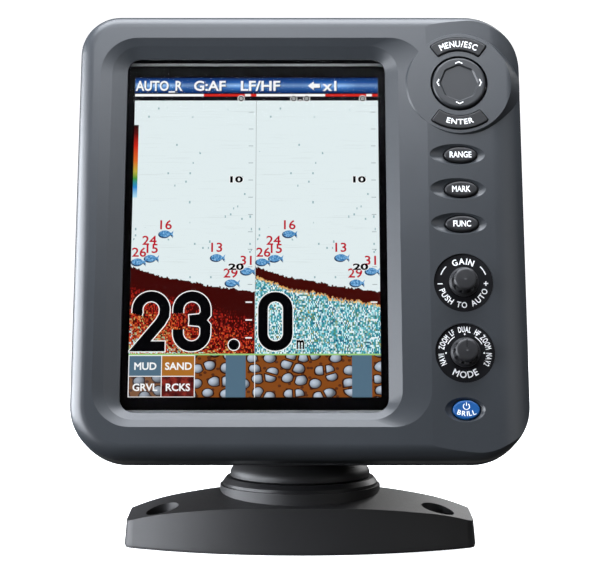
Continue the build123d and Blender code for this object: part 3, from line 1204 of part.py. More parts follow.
with BuildPart() as collar_ring:
    with BuildSketch(Plane.XZ) as collar_half:
        with BuildLine():
            Polyline(
                (COLLAR_INNER, HUB_TOP), (COLLAR_RADIUS, HUB_TOP), (COLLAR_RADIUS, HUB_TOP + 1.6),
                (COLLAR_RADIUS - 1.8, COLLAR_TOP), (COLLAR_INNER, COLLAR_TOP), close=True,
            )
        make_face()
    revolve(collar_half.sketch, axis=Axis.Z)
collar_ring.part.label = "collar_ring"
export_step(collar_ring.part, "parts/collar_ring.step")

# ---- base -------------------------------------------------------------------------------------

BASE_FOOT = 1.2  # the rubber pad lies under it
RIDGE = ((0, 30.0), (24, 29.6), (43, 28.0), (60, 25.4), (72, 23.0), (84, 19.4), (96, 14.6))
RIDGE_FALL = 0.137  # the ridge's slopes fall this much for each millimetre to front and back
BORE_BOSS_RADIUS, HOLE_SEAT = 19.0, 10.0
RIB_X, BASE_RIB, COLUMN_WALL = 46.0, 2.4, 2.8
TALL = 60.0  # more than the whole height of the base
mount_places = [(x, y) for x in (-HOLE_X, HOLE_X) for y in (-HOLE_Y, HOLE_Y)]


def base_plan(z, inset=0.0):
    """The outline of the base: a bow in front, a bow behind and rounded ends."""
    half_width, half_end, half_depth = BASE_WIDTH / 2 - inset, BASE_END_DEPTH / 2, BASE_DEPTH / 2
    half_end -= inset * 0.8
    half_depth -= inset
    with BuildSketch(Plane.XY.offset(z)) as profile:
        with BuildLine():
            ThreePointArc((-half_width, -half_end), (0, -half_depth), (half_width, -half_end))
            Line((half_width, -half_end), (half_width, half_end))
            ThreePointArc((half_width, half_end), (0, half_depth), (-half_width, half_end))
            Line((-half_width, half_end), (-half_width, -half_end))
        make_face()
        fillet(profile.vertices(), 9.0 - inset)
    return profile.sketch


def ridge_face(lower=0.0):
    """The space under the ridge, seen from the front, lowered for the hollow inside."""
    right = [(x, z - lower) for x, z in RIDGE]
    left = [(-x, z) for x, z in reversed(right)]
    with BuildSketch(Plane.XZ) as profile:
        with BuildLine():
            Spline(*left[:-1], *right)
            Polyline(right[-1], (96, -30), (-96, -30), left[0])
        make_face()
    return profile.sketch


with BuildPart() as base_roof:
    for side in (-1, 1):
        extrude(ridge_face(), amount=TALL, dir=(0, side, -RIDGE_FALL))

with BuildPart() as hollow_roof:
    for side in (-1, 1):
        extrude(ridge_face(BASE_WALL), amount=TALL, dir=(0, side, -RIDGE_FALL))

with BuildPart() as base_hollow:
    extrude(base_plan(BASE_FOOT, BASE_WALL), amount=34, taper=BASE_DRAFT)
    add(hollow_roof.part, mode=Mode.INTERSECT)
    # what stays standing inside: the bore's boss, the screw columns and the ribs between them
    with BuildSketch(Plane.XY.offset(WASHER_TOP)) as bore_boss:
        Circle(BORE_BOSS_RADIUS)
    extrude(bore_boss.sketch, amount=TALL, mode=Mode.SUBTRACT)
    with BuildSketch(Plane.XY.offset(BASE_FOOT)) as columns:
        with Locations(*mount_places):
            Circle(HOLE_BORE_RADIUS + COLUMN_WALL)
        for side in (-1, 1):
            with Locations((side * RIB_X, 0)):
                Rectangle(BASE_RIB, BASE_DEPTH + 10)
            with Locations((side * (BASE_WIDTH / 2 + BORE_BOSS_RADIUS) / 2, 0)):
                Rectangle(BASE_WIDTH / 2 - BORE_BOSS_RADIUS + 4, BASE_RIB)
    extrude(columns.sketch, amount=TALL, mode=Mode.SUBTRACT)

with BuildPart() as mount_base:
    extrude(base_plan(BASE_FOOT), amount=34, taper=BASE_DRAFT)
    add(base_roof.part, mode=Mode.INTERSECT)
    with BuildSketch(Plane.XY.offset(BASE_FOOT + 4)) as hub:
        Circle(HUB_RADIUS)
    extrude(hub.sketch, amount=HUB_TOP - BASE_FOOT - 4)
    with BuildSketch(Plane.XY.offset(HUB_TOP)) as above_hub:
        Circle(HUB_RADIUS + 20)
    extrude(above_hub.sketch, amount=10, mode=Mode.SUBTRACT)
    add(base_hollow.part, mode=Mode.SUBTRACT)
    with BuildSketch(Plane.XY) as spigot_bore:
        Circle(SPIGOT_RADIUS + RUNNING)
    extrude(spigot_bore.sketch, amount=TALL, mode=Mode.SUBTRACT)
    with BuildSketch(Plane.XY) as mount_holes:
        with Locations(*mount_places):
            Circle(HOLE_RADIUS)
    extrude(mount_holes.sketch, amount=TALL, mode=Mode.SUBTRACT)
    with BuildSketch(Plane.XY.offset(HOLE_SEAT)) as mount_seats:
        with Locations(*mount_places):
            Circle(HOLE_BORE_RADIUS)
    extrude(mount_seats.sketch, amount=TALL, mode=Mode.SUBTRACT)
mount_base.part.label = "mount_base"
export_step(mount_base.part, "parts/mount_base.step")

with BuildPart() as base_pad:
    extrude(base_plan(0, 0.4), amount=BASE_FOOT)
    with BuildSketch(Plane.XY) as pad_holes:
        with Locations(*mount_places):
            Circle(HOLE_RADIUS)
    extrude(pad_holes.sketch, amount=BASE_FOOT, mode=Mode.SUBTRACT)
base_pad.part.label = "base_pad"
export_step(base_pad.part, "parts/base_pad.step")
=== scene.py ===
"""Looks of a console fish finder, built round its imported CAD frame. Lengths are in metres."""

import json
import math

import bmesh
import bpy
from mathutils import Matrix, Vector


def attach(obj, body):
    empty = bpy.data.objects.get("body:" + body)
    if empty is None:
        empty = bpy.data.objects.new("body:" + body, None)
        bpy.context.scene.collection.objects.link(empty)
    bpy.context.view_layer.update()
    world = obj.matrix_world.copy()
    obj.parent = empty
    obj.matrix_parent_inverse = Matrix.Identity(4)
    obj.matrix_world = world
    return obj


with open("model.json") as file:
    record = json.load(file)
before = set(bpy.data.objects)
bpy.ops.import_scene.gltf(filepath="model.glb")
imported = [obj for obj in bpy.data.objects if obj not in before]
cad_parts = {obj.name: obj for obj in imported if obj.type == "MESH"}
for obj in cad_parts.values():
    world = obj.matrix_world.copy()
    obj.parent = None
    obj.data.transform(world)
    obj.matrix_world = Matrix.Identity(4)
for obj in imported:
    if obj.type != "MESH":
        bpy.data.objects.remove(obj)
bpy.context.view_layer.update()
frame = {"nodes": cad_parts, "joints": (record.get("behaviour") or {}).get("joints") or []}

MM = 0.001
joints = {joint["name"]: joint for joint in frame["joints"]}

# ---- the face frame: u across, v up the face, w out of the face -------------------------------

KEY_U, MODE_V, MODE_W = 83.0, -63.8, 8.0  # where the mode knob's joint stands, in millimetres
out = Vector(joints["mode_turn"]["axis"])
right = Vector((1, 0, 0))
up = out.cross(right)
face_origin = Vector(joints["mode_turn"]["pos_m"]) - (right * KEY_U + up * MODE_V + out * MODE_W) * MM
FACE = Matrix.Translation(face_origin) @ Matrix((right, up, out)).transposed().to_4x4() @ Matrix.Scale(MM, 4)

PAD_V = 78.5
OVAL_KEYS = (("range_key", 40.0, "RANGE"), ("mark_key", 21.6, "MARK"), ("func_key", 3.2, "FUNC"))
GAIN_V, POWER_V = -27.7, -92.5
OVAL_TOP, ARC_TOP, POWER_TOP, PAD_TOP = 5.2, 6.9, 4.8, 7.0
DIAL_TOP = 4.4

SCREEN_LEFT, SCREEN_TOP, SCREEN_W = -87.1, 85.45, -4.2  # corner and front of the lit area
SCREEN_WIDTH, SCREEN_HEIGHT = 128.2, 170.9
HALF = 64.1  # the right half of the picture repeats the left one this far across


# ---- shader graphs ----------------------------------------------------------------------------


class Graph:
    """A material's node tree, with a method for each kind of node that is used."""

    def __init__(self, name):
        self.material = bpy.data.materials.new(name)
        self.material.use_nodes = True
        self.tree = self.material.node_tree
        self.shader = self.tree.nodes["Principled BSDF"]
        coordinates = self.tree.nodes.new("ShaderNodeTexCoord")
        self.place = coordinates.outputs["Object"]

    def feed(self, socket, value):
        """Links an output to a socket, or sets a plain value on it."""
        if isinstance(value, bpy.types.NodeSocket):
            self.tree.links.new(value, socket)
        elif isinstance(value, (tuple, list)) and len(value) == 3 and socket.type == "RGBA":
            socket.default_value = (*value, 1.0)
        else:
            socket.default_value = value

    def math(self, operation, *values):
        node = self.tree.nodes.new("ShaderNodeMath")
        node.operation = operation
        for socket, value in zip(node.inputs, values):
            self.feed(socket, value)
        return node.outputs[0]

    def add(self, a, b):
        return self.math("ADD", a, b)

    def sub(self, a, b):
        return self.math("SUBTRACT", a, b)

    def mul(self, a, b):
        return self.math("MULTIPLY", a, b)

    def above(self, a, b):
        return self.math("GREATER_THAN", a, b)

    def below(self, a, b):
        return self.math("LESS_THAN", a, b)

    def between(self, a, low, high):
        return self.mul(self.above(a, low), self.below(a, high))

    def step(self, a, low, high):
        """0 below low, 1 above high and a smooth rise between."""
        node = self.tree.nodes.new("ShaderNodeMapRange")
        node.interpolation_type = "SMOOTHSTEP"
        self.feed(node.inputs["Value"], a)
        node.inputs["From Min"].default_value = low
        node.inputs["From Max"].default_value = high
        return node.outputs["Result"]

    def split(self, vector):
        node = self.tree.nodes.new("ShaderNodeSeparateXYZ")
        self.feed(node.inputs[0], vector)
        return node.outputs["X"], node.outputs["Y"], node.outputs["Z"]

    def join(self, x, y, z=0.0):
        node = self.tree.nodes.new("ShaderNodeCombineXYZ")
        for socket, value in zip(node.inputs, (x, y, z)):
            self.feed(socket, value)
        return node.outputs[0]

    def noise(self, scale, detail=2.0, roughness=0.5, vector=None, distortion=0.0):
        node = self.tree.nodes.new("ShaderNodeTexNoise")
        self.feed(node.inputs["Vector"], self.place if vector is None else vector)
        node.inputs["Scale"].default_value = scale
        node.inputs["Detail"].default_value = detail
        node.inputs["Roughness"].default_value = roughness
        node.inputs["Distortion"].default_value = distortion
        return node.outputs["Fac"]

    def white(self, vector):
        node = self.tree.nodes.new("ShaderNodeTexWhiteNoise")
        node.noise_dimensions = "3D"
        self.feed(node.inputs["Vector"], vector)
        return node.outputs["Value"]

    def voronoi(self, scale, vector=None, feature="F1", randomness=1.0, dimensions="3D"):
        node = self.tree.nodes.new("ShaderNodeTexVoronoi")
        node.feature = feature
        node.voronoi_dimensions = dimensions
        self.feed(node.inputs["Vector"], self.place if vector is None else vector)
        node.inputs["Scale"].default_value = scale
        node.inputs["Randomness"].default_value = randomness
        return node.outputs["Distance"]

    def ramp(self, value, stops, constant=False):
        """A colour for each value, from (position, (r, g, b)) stops."""
        node = self.tree.nodes.new("ShaderNodeValToRGB")
        node.color_ramp.interpolation = "CONSTANT" if constant else "LINEAR"
        elements = node.color_ramp.elements
        while len(elements) < len(stops):
            elements.new(0.5)
        for element, (position, colour) in zip(elements, stops):
            element.position = position
            element.color = (*colour, 1.0)
        self.feed(node.inputs["Fac"], value)
        return node.outputs["Color"]

    def mix(self, share, first, second):
        node = self.tree.nodes.new("ShaderNodeMix")
        node.data_type = "RGBA"
        self.feed(node.inputs["Factor"], share)
        self.feed(node.inputs["A"], first)
        self.feed(node.inputs["B"], second)
        return node.outputs["Result"]

    def bump(self, height, strength, distance):
        node = self.tree.nodes.new("ShaderNodeBump")
        node.inputs["Strength"].default_value = strength
        node.inputs["Distance"].default_value = distance
        self.feed(node.inputs["Height"], height)
        self.tree.links.new(node.outputs["Normal"], self.shader.inputs["Normal"])

    def set(self, **sockets):
        """Feeds sockets of the shader, which are named with _ for each space."""
        for name, value in sockets.items():
            self.feed(self.shader.inputs[name.replace("_", " ")], value)


def shade(colour, factor):
    return tuple(channel * factor for channel in colour)


def moulded(name, colour, grain=0.5, rough=(0.42, 0.56), relief=0.05, scale=1.0, gloss=0.4):
    """Moulded plastic: spark-eroded grain, slight cloudiness and fine handling marks.

    scale is the number of metres in the object's own unit, because a piece drawn in the face
    frame counts in millimetres.
    """
    g = Graph(name)
    fine = g.noise(scale * 2400 / grain, 3.0, 0.6)
    pits = g.voronoi(scale * 1500 / grain)
    cloud = g.noise(scale * 18, 3.0, 0.55)
    marks = g.noise(scale * 240, 4.0, 0.7, distortion=1.5)
    tone = g.add(g.mul(fine, 0.35), g.add(g.mul(cloud, 0.45), g.mul(marks, 0.2)))
    g.set(Base_Color=g.ramp(tone, [(0.3, shade(colour, 0.84)), (0.7, shade(colour, 1.18))]))
    g.shader.inputs["Specular IOR Level"].default_value = gloss
    low, high = rough
    g.set(Roughness=g.add(low, g.mul(g.add(g.mul(marks, 0.6), g.mul(fine, 0.4)), high - low)))
    g.bump(g.add(g.mul(fine, 0.6), g.mul(pits, 0.4)), 0.5, relief * MM)
    return g


def metal(name, colour, rough=(0.22, 0.4), stretch=1.0):
    """Metal with fine tool marks, drawn out along z where stretch is below 1, and faint tarnish."""
    g = Graph(name)
    x, y, z = g.split(g.place)
    lines = g.noise(2600, 2.0, 0.6, g.join(x, y, g.mul(z, stretch)))
    cloud = g.noise(90, 3.0, 0.6)
    g.set(Base_Color=g.ramp(cloud, [(0.3, shade(colour, 0.82)), (0.7, colour)]))
    g.set(Metallic=1.0)
    low, high = rough
    g.set(Roughness=g.add(low, g.mul(g.add(g.mul(lines, 0.5), g.mul(cloud, 0.5)), high - low)))
    g.bump(lines, 0.3, 0.02 * MM)
    return g


def board(name):
    """A circuit board: green mask over copper tracks, with tinned pads."""
    g = Graph(name)
    x, y, z = g.split(g.place)
    cells = g.tree.nodes.new("ShaderNodeTexBrick")
    cells.inputs["Scale"].default_value = 90.0
    cells.inputs["Mortar Size"].default_value = 0.05
    cells.inputs["Color1"].default_value = (0.02, 0.16, 0.07, 1)
    cells.inputs["Color2"].default_value = (0.03, 0.21, 0.09, 1)
    cells.inputs["Mortar"].default_value = (0.06, 0.32, 0.14, 1)
    g.feed(cells.inputs["Vector"], g.join(x, z))
    pads = g.below(g.voronoi(260, g.join(x, 0.0, z)), 0.16)
    g.set(Base_Color=g.mix(pads, cells.outputs["Color"], (0.72, 0.7, 0.6)))
    g.set(Roughness=g.add(0.28, g.mul(g.noise(400), 0.2)))
    g.bump(cells.outputs["Fac"], 0.25, 0.05 * MM)
    return g


def paint(node, graph):
    """Gives a CAD node its material."""
    slots = frame["nodes"][node].data.materials
    slots.clear()
    slots.append(graph.material)


# ---- mesh helpers -----------------------------------------------------------------------------


def finish_piece(name, bm, body, graph):
    """Turns a bmesh in the face frame, in millimetres, into a piece that rides on a body."""
    bmesh.ops.remove_doubles(bm, verts=bm.verts, dist=1e-4)
    bmesh.ops.recalc_face_normals(bm, faces=bm.faces)
    mesh = bpy.data.meshes.new(name)
    bm.to_mesh(mesh)
    bm.free()
    piece = bpy.data.objects.new(name, mesh)
    bpy.context.scene.collection.objects.link(piece)
    mesh.materials.append(graph.material)
    piece.matrix_world = FACE
    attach(piece, body)
    return piece


def prism(bm, outline, low, high):
    """A closed prism over a flat outline of (x, y), from height low to high."""
    lower = [bm.verts.new((x, y, low)) for x, y in outline]
    upper = [bm.verts.new((x, y, high)) for x, y in outline]
    count = len(outline)
    bm.faces.new(reversed(lower))
    bm.faces.new(upper)
    for i in range(count):
        j = (i + 1) % count
        bm.faces.new((lower[i], lower[j], upper[j], upper[i]))


def rectangle(left, bottom, width, height):
    return [(left, bottom), (left + width, bottom), (left + width, bottom + height), (left, bottom + height)]


def rounded(left, bottom, width, height, radius, steps=8):
    """A rectangle with round corners."""
    points = []
    for cx, cy, start in (
        (left + width - radius, bottom + radius, -90),
        (left + width - radius, bottom + height - radius, 0),
        (left + radius, bottom + height - radius, 90),
        (left + radius, bottom + radius, 180),
    ):
        for i in range(steps + 1):
            angle = math.radians(start + 90 * i / steps)
            points.append((cx + radius * math.cos(angle), cy + radius * math.sin(angle)))
    return points


def circle(x, y, radius, steps=32):
    turn = 2 * math.pi / steps
    return [(x + radius * math.cos(i * turn), y + radius * math.sin(i * turn)) for i in range(steps)]


def ring(bm, outer, inner, low, high):
    """A closed ring between two outlines with the same number of points."""
    loops = [
        [bm.verts.new((x, y, z)) for x, y in outline]
        for outline, z in ((outer, low), (outer, high), (inner, high), (inner, low))
    ]
    count = len(outer)
    for a, b in zip(loops, loops[1:] + loops[:1]):
        for i in range(count):
            j = (i + 1) % count
            bm.faces.new((a[i], a[j], b[j], b[i]))


def stroke(bm, points, width, low, high):
    """A flat line of a given width along points."""
    left, right_side = [], []
    for i, point in enumerate(points):
        here = Vector(point)
        before = Vector(points[max(i - 1, 0)])
        after = Vector(points[min(i + 1, len(points) - 1)])
        incoming = (here - before).normalized() if i else (after - here).normalized()
        outgoing = (after - here).normalized() if i < len(points) - 1 else incoming
        along = (incoming + outgoing).normalized()
        side = Vector((-along.y, along.x))
        reach = width / 2 / max(side.dot(Vector((-outgoing.y, outgoing.x))), SHARPEST)
        left.append(here + side * reach)
        right_side.append(here - side * reach)
    outline = left + right_side[::-1]
    prism(bm, [(p.x, p.y) for p in outline], low, high)


def arc_points(x, y, radius, start, end, steps=16):
    """Points on an arc, with the angles in degrees."""
    return [
        (
            x + radius * math.cos(math.radians(start + (end - start) * i / steps)),
            y + radius * math.sin(math.radians(start + (end - start) * i / steps)),
        )
        for i in range(steps + 1)
    ]


INK_THICK = 0.05
CAPITAL, SPACE = 0.69, 0.32  # a capital's height and a space's width, as shares of the text's size
SHARPEST = 0.3  # keeps a line's mitres from running away at a sharp corner


def embolden(bm, amount):
    """Moves the rim of a flat mesh outwards by amount, with mitred corners."""
    moves = []
    for vertex in bm.verts:
        spread = Vector()
        for edge in vertex.link_edges:
            if edge.is_boundary:
                along = edge.verts[1].co - edge.verts[0].co
                side = Vector((along.y, -along.x, 0)).normalized()
                inward = edge.link_faces[0].calc_center_median() - edge.verts[0].co
                spread += -side if side.dot(inward) > 0 else side
        moves.append(spread * 2 * amount / max(spread.length_squared, 0.5))
    for vertex, move in zip(bm.verts, moves):
        vertex.co += move


def glyphs(text, size, thickness, bold=0.0):
    """A text's closed mesh from z = 0 up, and how far it reaches across."""
    curve = bpy.data.curves.new("glyphs", "FONT")
    curve.body = text
    curve.size = size
    curve.fill_mode = "FRONT"
    curve.resolution_u = 3
    holder = bpy.data.objects.new("glyphs", curve)
    bpy.context.scene.collection.objects.link(holder)
    mesh = bpy.data.meshes.new_from_object(holder.evaluated_get(bpy.context.evaluated_depsgraph_get()))
    bpy.data.objects.remove(holder)
    bpy.data.curves.remove(curve)
    bm = bmesh.new()
    bm.from_mesh(mesh)
    bmesh.ops.remove_doubles(bm, verts=bm.verts, dist=size * 1e-4)
    embolden(bm, bold)
    raised = bmesh.ops.extrude_face_region(bm, geom=bm.faces[:], use_keep_orig=True)["geom"]
    for item in raised:
        if isinstance(item, bmesh.types.BMVert):
            item.co.z += thickness
    bm.to_mesh(mesh)
    bm.free()
    across = [vertex.co.x for vertex in mesh.vertices]
    return mesh, min(across), max(across)


def write(bm, text, x, y, size, low, thickness=INK_THICK, bold=0.0, wide=1.0, anchor="middle", turn=0.0):
    """Adds a line of text, its capitals centred on y, to a bmesh."""
    mesh, left, right_end = glyphs(text, size, thickness, bold)
    shift = {"left": left, "middle": (left + right_end) / 2, "right": right_end}[anchor]
    mesh.transform(
        Matrix.Translation((x, y, low))
        @ Matrix.Rotation(math.radians(turn), 4, "Z")
        @ Matrix.Diagonal((wide, 1, 1, 1))
        @ Matrix.Translation((-shift, -CAPITAL / 2 * size, 0))
    )
    bm.from_mesh(mesh)
    bpy.data.meshes.remove(mesh)


def write_round(bm, text, x, y, radius, middle, size, low, inside=False, bold=0.0, gap=0.12, wide=1.0):
    """Writes text along an arc round (x, y). With inside set it reads along the lower side."""
    space = SPACE * size
    widths = []
    for letter in text:
        if letter == " ":
            widths.append(space)
            continue
        mesh, left, right_end = glyphs(letter, size, INK_THICK, bold)
        bpy.data.meshes.remove(mesh)
        widths.append((right_end - left) * wide)
    total = sum(widths) + gap * size * (len(text) - 1)
    position = -total / 2
    for letter, width in zip(text, widths):
        centre = position + width / 2
        position += width + gap * size
        if letter == " ":
            continue
        swing = math.degrees(centre / radius)
        angle = middle + swing if inside else middle - swing
        at_x = x + radius * math.cos(math.radians(angle))
        at_y = y + radius * math.sin(math.radians(angle))
        turn = angle + 90 if inside else angle - 90
        write(bm, letter, at_x, at_y, size, low, bold=bold, wide=wide, turn=turn)


# ---- camera, light and floor ------------------------------------------------------------------

EYE = (0.0, -0.784, 0.1367)

camera_data = bpy.data.cameras.new("camera")
camera_data.sensor_width = 36.0
camera_data.lens = 87.3
camera = bpy.data.objects.new("camera", camera_data)
camera.location = EYE
camera.rotation_euler = (math.radians(90), 0, 0)
bpy.context.scene.collection.objects.link(camera)
bpy.context.scene.camera = camera
bpy.context.scene.view_settings.view_transform = "Standard"


def soft_light(name, place, aim, width, height, power, tint=(1, 1, 1)):
    """A soft box at place that points at aim."""
    data = bpy.data.lights.new(name, "AREA")
    data.shape = "RECTANGLE"
    data.size, data.size_y = width, height
    data.energy = power
    data.color = tint
    light = bpy.data.objects.new(name, data)
    light.location = place
    light.rotation_euler = (Vector(aim) - Vector(place)).to_track_quat("-Z", "Y").to_euler()
    bpy.context.scene.collection.objects.link(light)


middle = (0.0, 0.0, 0.14)
COOL = (0.96, 1.0, 1.07)
soft_light("left_light", (-1.05, -0.2, 0.22), middle, 1.6, 0.7, 52.0, COOL)
soft_light("top_light", (0.0, -0.05, 1.3), middle, 1.6, 0.9, 46.0, COOL)
soft_light("key_light", (-0.02, -0.3, 0.5), (0.0, 0.0, 0.26), 0.4, 0.2, 1.5, COOL)
soft_light("fill_light", (1.5, -1.3, 0.6), middle, 1.2, 1.2, 5.0)
soft_light("back_light", (0.9, 1.6, 1.0), middle, 1.2, 1.2, 16.0)

world = bpy.data.worlds.new("world")
world.use_nodes = True
world.node_tree.nodes["Background"].inputs["Color"].default_value = (1, 1, 1, 1)
world.node_tree.nodes["Background"].inputs["Strength"].default_value = 0.08
bpy.context.scene.world = world


def make_floor():
    """A pale floor that curves up into a backdrop."""
    near, bend, radius, height, half_width = -9.0, 2.5, 1.5, 4.0, 8.0
    line = [(near, 0.0), (bend, 0.0)]
    line += [
        (bend + radius * math.sin(math.radians(a)), radius * (1 - math.cos(math.radians(a))))
        for a in range(5, 91, 5)
    ]
    line.append((bend + radius, height))
    bm = bmesh.new()
    sides = [[bm.verts.new((x, y, z)) for y, z in line] for x in (-half_width, half_width)]
    for i in range(len(line) - 1):
        bm.faces.new((sides[0][i], sides[0][i + 1], sides[1][i + 1], sides[1][i]))
    bmesh.ops.recalc_face_normals(bm, faces=bm.faces)
    mesh = bpy.data.meshes.new("floor")
    bm.to_mesh(mesh)
    bm.free()
    for polygon in mesh.polygons:
        polygon.use_smooth = True
    g = Graph("floor")
    g.set(Base_Color=g.ramp(g.noise(3.0), [(0.3, (0.9, 0.9, 0.9)), (0.7, (0.93, 0.93, 0.93))]))
    x, y, z = g.split(g.place)
    g.set(Roughness=0.9, Emission_Color=(1, 1, 1))
    far = g.step(g.math("ABSOLUTE", y), 0.3, 2.5)
    near_glow = 0.55
    g.set(Emission_Strength=g.add(near_glow, g.mul(far, 1 - near_glow)))
    mesh.materials.append(g.material)
    floor = bpy.data.objects.new("floor", mesh)
    bpy.context.scene.collection.objects.link(floor)
    floor.visible_glossy = False
    floor.visible_diffuse = False


make_floor()

# ---- finishes of the CAD pieces ---------------------------------------------------------------

BEZEL = (0.026, 0.0295, 0.034)
BLACK = (0.0135, 0.0132, 0.014)
KEY = (0.012, 0.0122, 0.0135)
STEEL = (0.62, 0.63, 0.65)

paint("front_bezel", moulded("bezel_plastic", BEZEL, grain=0.7, rough=(0.3, 0.42), relief=0.05, gloss=0.5))
paint("rear_cover", moulded("cover_plastic", (0.026, 0.027, 0.03), grain=0.9, rough=(0.5, 0.64), relief=0.07))
base_plastic = moulded("base_plastic", BLACK, grain=1.0, rough=(0.42, 0.58), relief=0.09)
for node in ("mount_base", "tilt_bracket"):
    paint(node, base_plastic)
turret_plastic = moulded("turret_plastic", (0.012, 0.012, 0.0128), grain=1.0, rough=(0.42, 0.56), relief=0.07)
paint("swivel_turret", turret_plastic)
trim_plastic = moulded("trim_plastic", (0.009, 0.009, 0.0098), grain=0.6, rough=(0.3, 0.42), relief=0.03)
for node in ("collar_ring", "clamp_knob", "transducer_socket", "power_socket", "socket_nuts", "vent_plug"):
    paint(node, trim_plastic)
key_rubber = moulded("key_rubber", KEY, grain=0.4, rough=(0.36, 0.48), relief=0.02, gloss=0.3)
for node in ("menu_key", "enter_key", "range_key", "mark_key", "func_key"):
    paint(node, key_rubber)
paint("cursor_pad", moulded("pad_rubber", (0.019, 0.0205, 0.023), grain=0.4, rough=(0.34, 0.48), relief=0.02))
paint("power_key", moulded("power_rubber", (0.004, 0.07, 0.24), grain=0.4, rough=(0.35, 0.48), relief=0.02))
dial_plastic = moulded(
    "dial_plastic", (0.005, 0.005, 0.006), grain=0.3, rough=(0.4, 0.5), relief=0.015, gloss=0.12
)
for node in ("gain_dial", "mode_dial"):
    paint(node, dial_plastic)
knob_rubber = moulded("knob_rubber", (0.013, 0.013, 0.0145), grain=0.5, rough=(0.36, 0.5), relief=0.03)
for node in ("gain_knob", "mode_knob"):
    paint(node, knob_rubber)
soft_rubber = moulded("soft_rubber", (0.016, 0.016, 0.017), grain=1.4, rough=(0.62, 0.8), relief=0.08)
for node in ("base_pad", "case_gasket", "socket_seals", "window_gasket"):
    paint(node, soft_rubber)
silicone = moulded("silicone", (0.1, 0.1, 0.11), grain=0.8, rough=(0.5, 0.62), relief=0.03)
paint("key_mat", silicone)
acetal = moulded("acetal", (0.55, 0.55, 0.52), grain=0.5, rough=(0.34, 0.46), relief=0.02)
for node in ("cursor_rocker", "gain_plunger", "tilt_washers", "friction_ring"):
    paint(node, acetal)
stainless = metal("stainless", STEEL)
for node in (
    "case_screws", "bracket_screws", "board_screws", "board_standoffs", "swivel_bolt", "swivel_washer",
    "swivel_nut", "tilt_pin", "clamp_washer", "ground_stud", "wing_nut", "control_nuts", "gain_shaft",
    "mode_shaft",
):
    paint(node, stainless)
paint("lcd_frame", metal("zinc_sheet", (0.55, 0.56, 0.56), rough=(0.3, 0.5), stretch=0.05))
paint("socket_contacts", metal("gold_plate", (0.83, 0.62, 0.25), rough=(0.18, 0.3)))
for node in ("gain_encoder", "mode_switch"):
    paint(node, metal("die_cast_" + node, (0.5, 0.5, 0.52), rough=(0.35, 0.55)))
for node in ("key_board", "main_board", "power_board"):
    paint(node, board("board_" + node))
part_plastic = moulded("part_plastic", (0.03, 0.03, 0.034), grain=0.5, rough=(0.36, 0.5), relief=0.02)
for node in ("main_board_parts", "power_parts", "buzzer"):
    paint(node, part_plastic)
paint("backlight_unit", moulded("backlight_white", (0.8, 0.8, 0.8), grain=0.5, rough=(0.4, 0.5), relief=0.01))
paint("lcd_panel", moulded("panel_black", (0.006, 0.006, 0.009), grain=0.3, rough=(0.15, 0.25), relief=0.005))


def ribbon_cable(name):
    """Flat cable: grey cores side by side, 1 mm apart."""
    g = Graph(name)
    x, y, z = g.split(g.place)
    cores = g.math("SINE", g.mul(g.add(x, z), 2 * math.pi / (1.0 * MM)))
    g.set(Base_Color=g.ramp(g.step(cores, -0.9, -0.3), [(0.0, (0.3, 0.3, 0.3)), (1.0, (0.6, 0.6, 0.58))]))
    g.set(Roughness=0.45)
    g.bump(cores, 0.5, 0.2 * MM)
    return g


for node in ("key_ribbon", "lcd_ribbon"):
    paint(node, ribbon_cable("cores_" + node))


def window_material():
    """Clear glass with an anti-reflection coat and a trace of dust."""
    g = Graph("coated_glass")
    dust = g.noise(120.0, 4.0, 0.6)
    g.set(Base_Color=(0.985, 0.99, 0.995), Roughness=g.add(0.005, g.mul(g.step(dust, 0.62, 0.8), 0.04)))
    g.shader.inputs["IOR"].default_value = 1.04
    g.shader.inputs["Specular IOR Level"].default_value = 0.2
    g.shader.inputs["Transmission Weight"].default_value = 1.0
    return g


paint("window_glass", window_material())

# ---- the picture on the screen ----------------------------------------------------------------

PIXEL = 0.267  # millimetres
MARK, STEP_DOWN = 0.03, 0.004  # a drawn mark's thickness, and a small step where two cross
PICTURE_FRONT = SCREEN_W + 0.05


def screen_u(across_mm):
    return SCREEN_LEFT + across_mm


def screen_v(down_mm):
    return SCREEN_TOP - down_mm


def lit(name):
    """A graph for something that shines on the screen. Its colour goes on Emission Color."""
    g = Graph(name)
    g.set(Base_Color=(0.0005, 0.0005, 0.0005), Roughness=0.3)
    g.shader.inputs["Specular IOR Level"].default_value = 0.01
    g.shader.inputs["Emission Strength"].default_value = 1.0
    return g


def glow(name, colour):
    """One lit colour, with the screen's fine grid of pixels in it."""
    g = lit(name)
    x, y, z = g.split(g.place)
    turn = 2 * math.pi / PIXEL
    weave = g.mul(g.math("SINE", g.mul(x, turn)), g.math("SINE", g.mul(y, turn)))
    g.set(Emission_Color=g.ramp(g.add(g.mul(weave, 0.5), 0.5), [(0.0, shade(colour, 0.93)), (1.0, colour)]))
    return g


def picture_place(g, left):
    """How far right of left and how far down the screen a point is, on the grid of pixels."""
    x, y, z = g.split(g.place)
    across_mm = g.mul(g.math("FLOOR", g.mul(g.sub(x, screen_u(left)), 1 / PIXEL)), PIXEL)
    down_mm = g.mul(g.math("FLOOR", g.mul(g.sub(SCREEN_TOP, y), 1 / PIXEL)), PIXEL)
    return across_mm, down_mm


ECHO_TOP, ECHO_BOTTOM = 13.0, 148.2
SEABED, SEABED_FALL = 102.4, 13.6  # how far down the seabed starts, and how much it falls
HEAT, HEAT_FALL, HEAT_DEPTH = 111.0, 17.0, 34.0  # where the dark seabed starts to break up into red
BAND, BAND_GROWTH = 4.4, 1.8  # the dark band on the right half
PALE = (0.76, 0.85, 0.86)
MAROON = (0.045, 0.0025, 0.002)


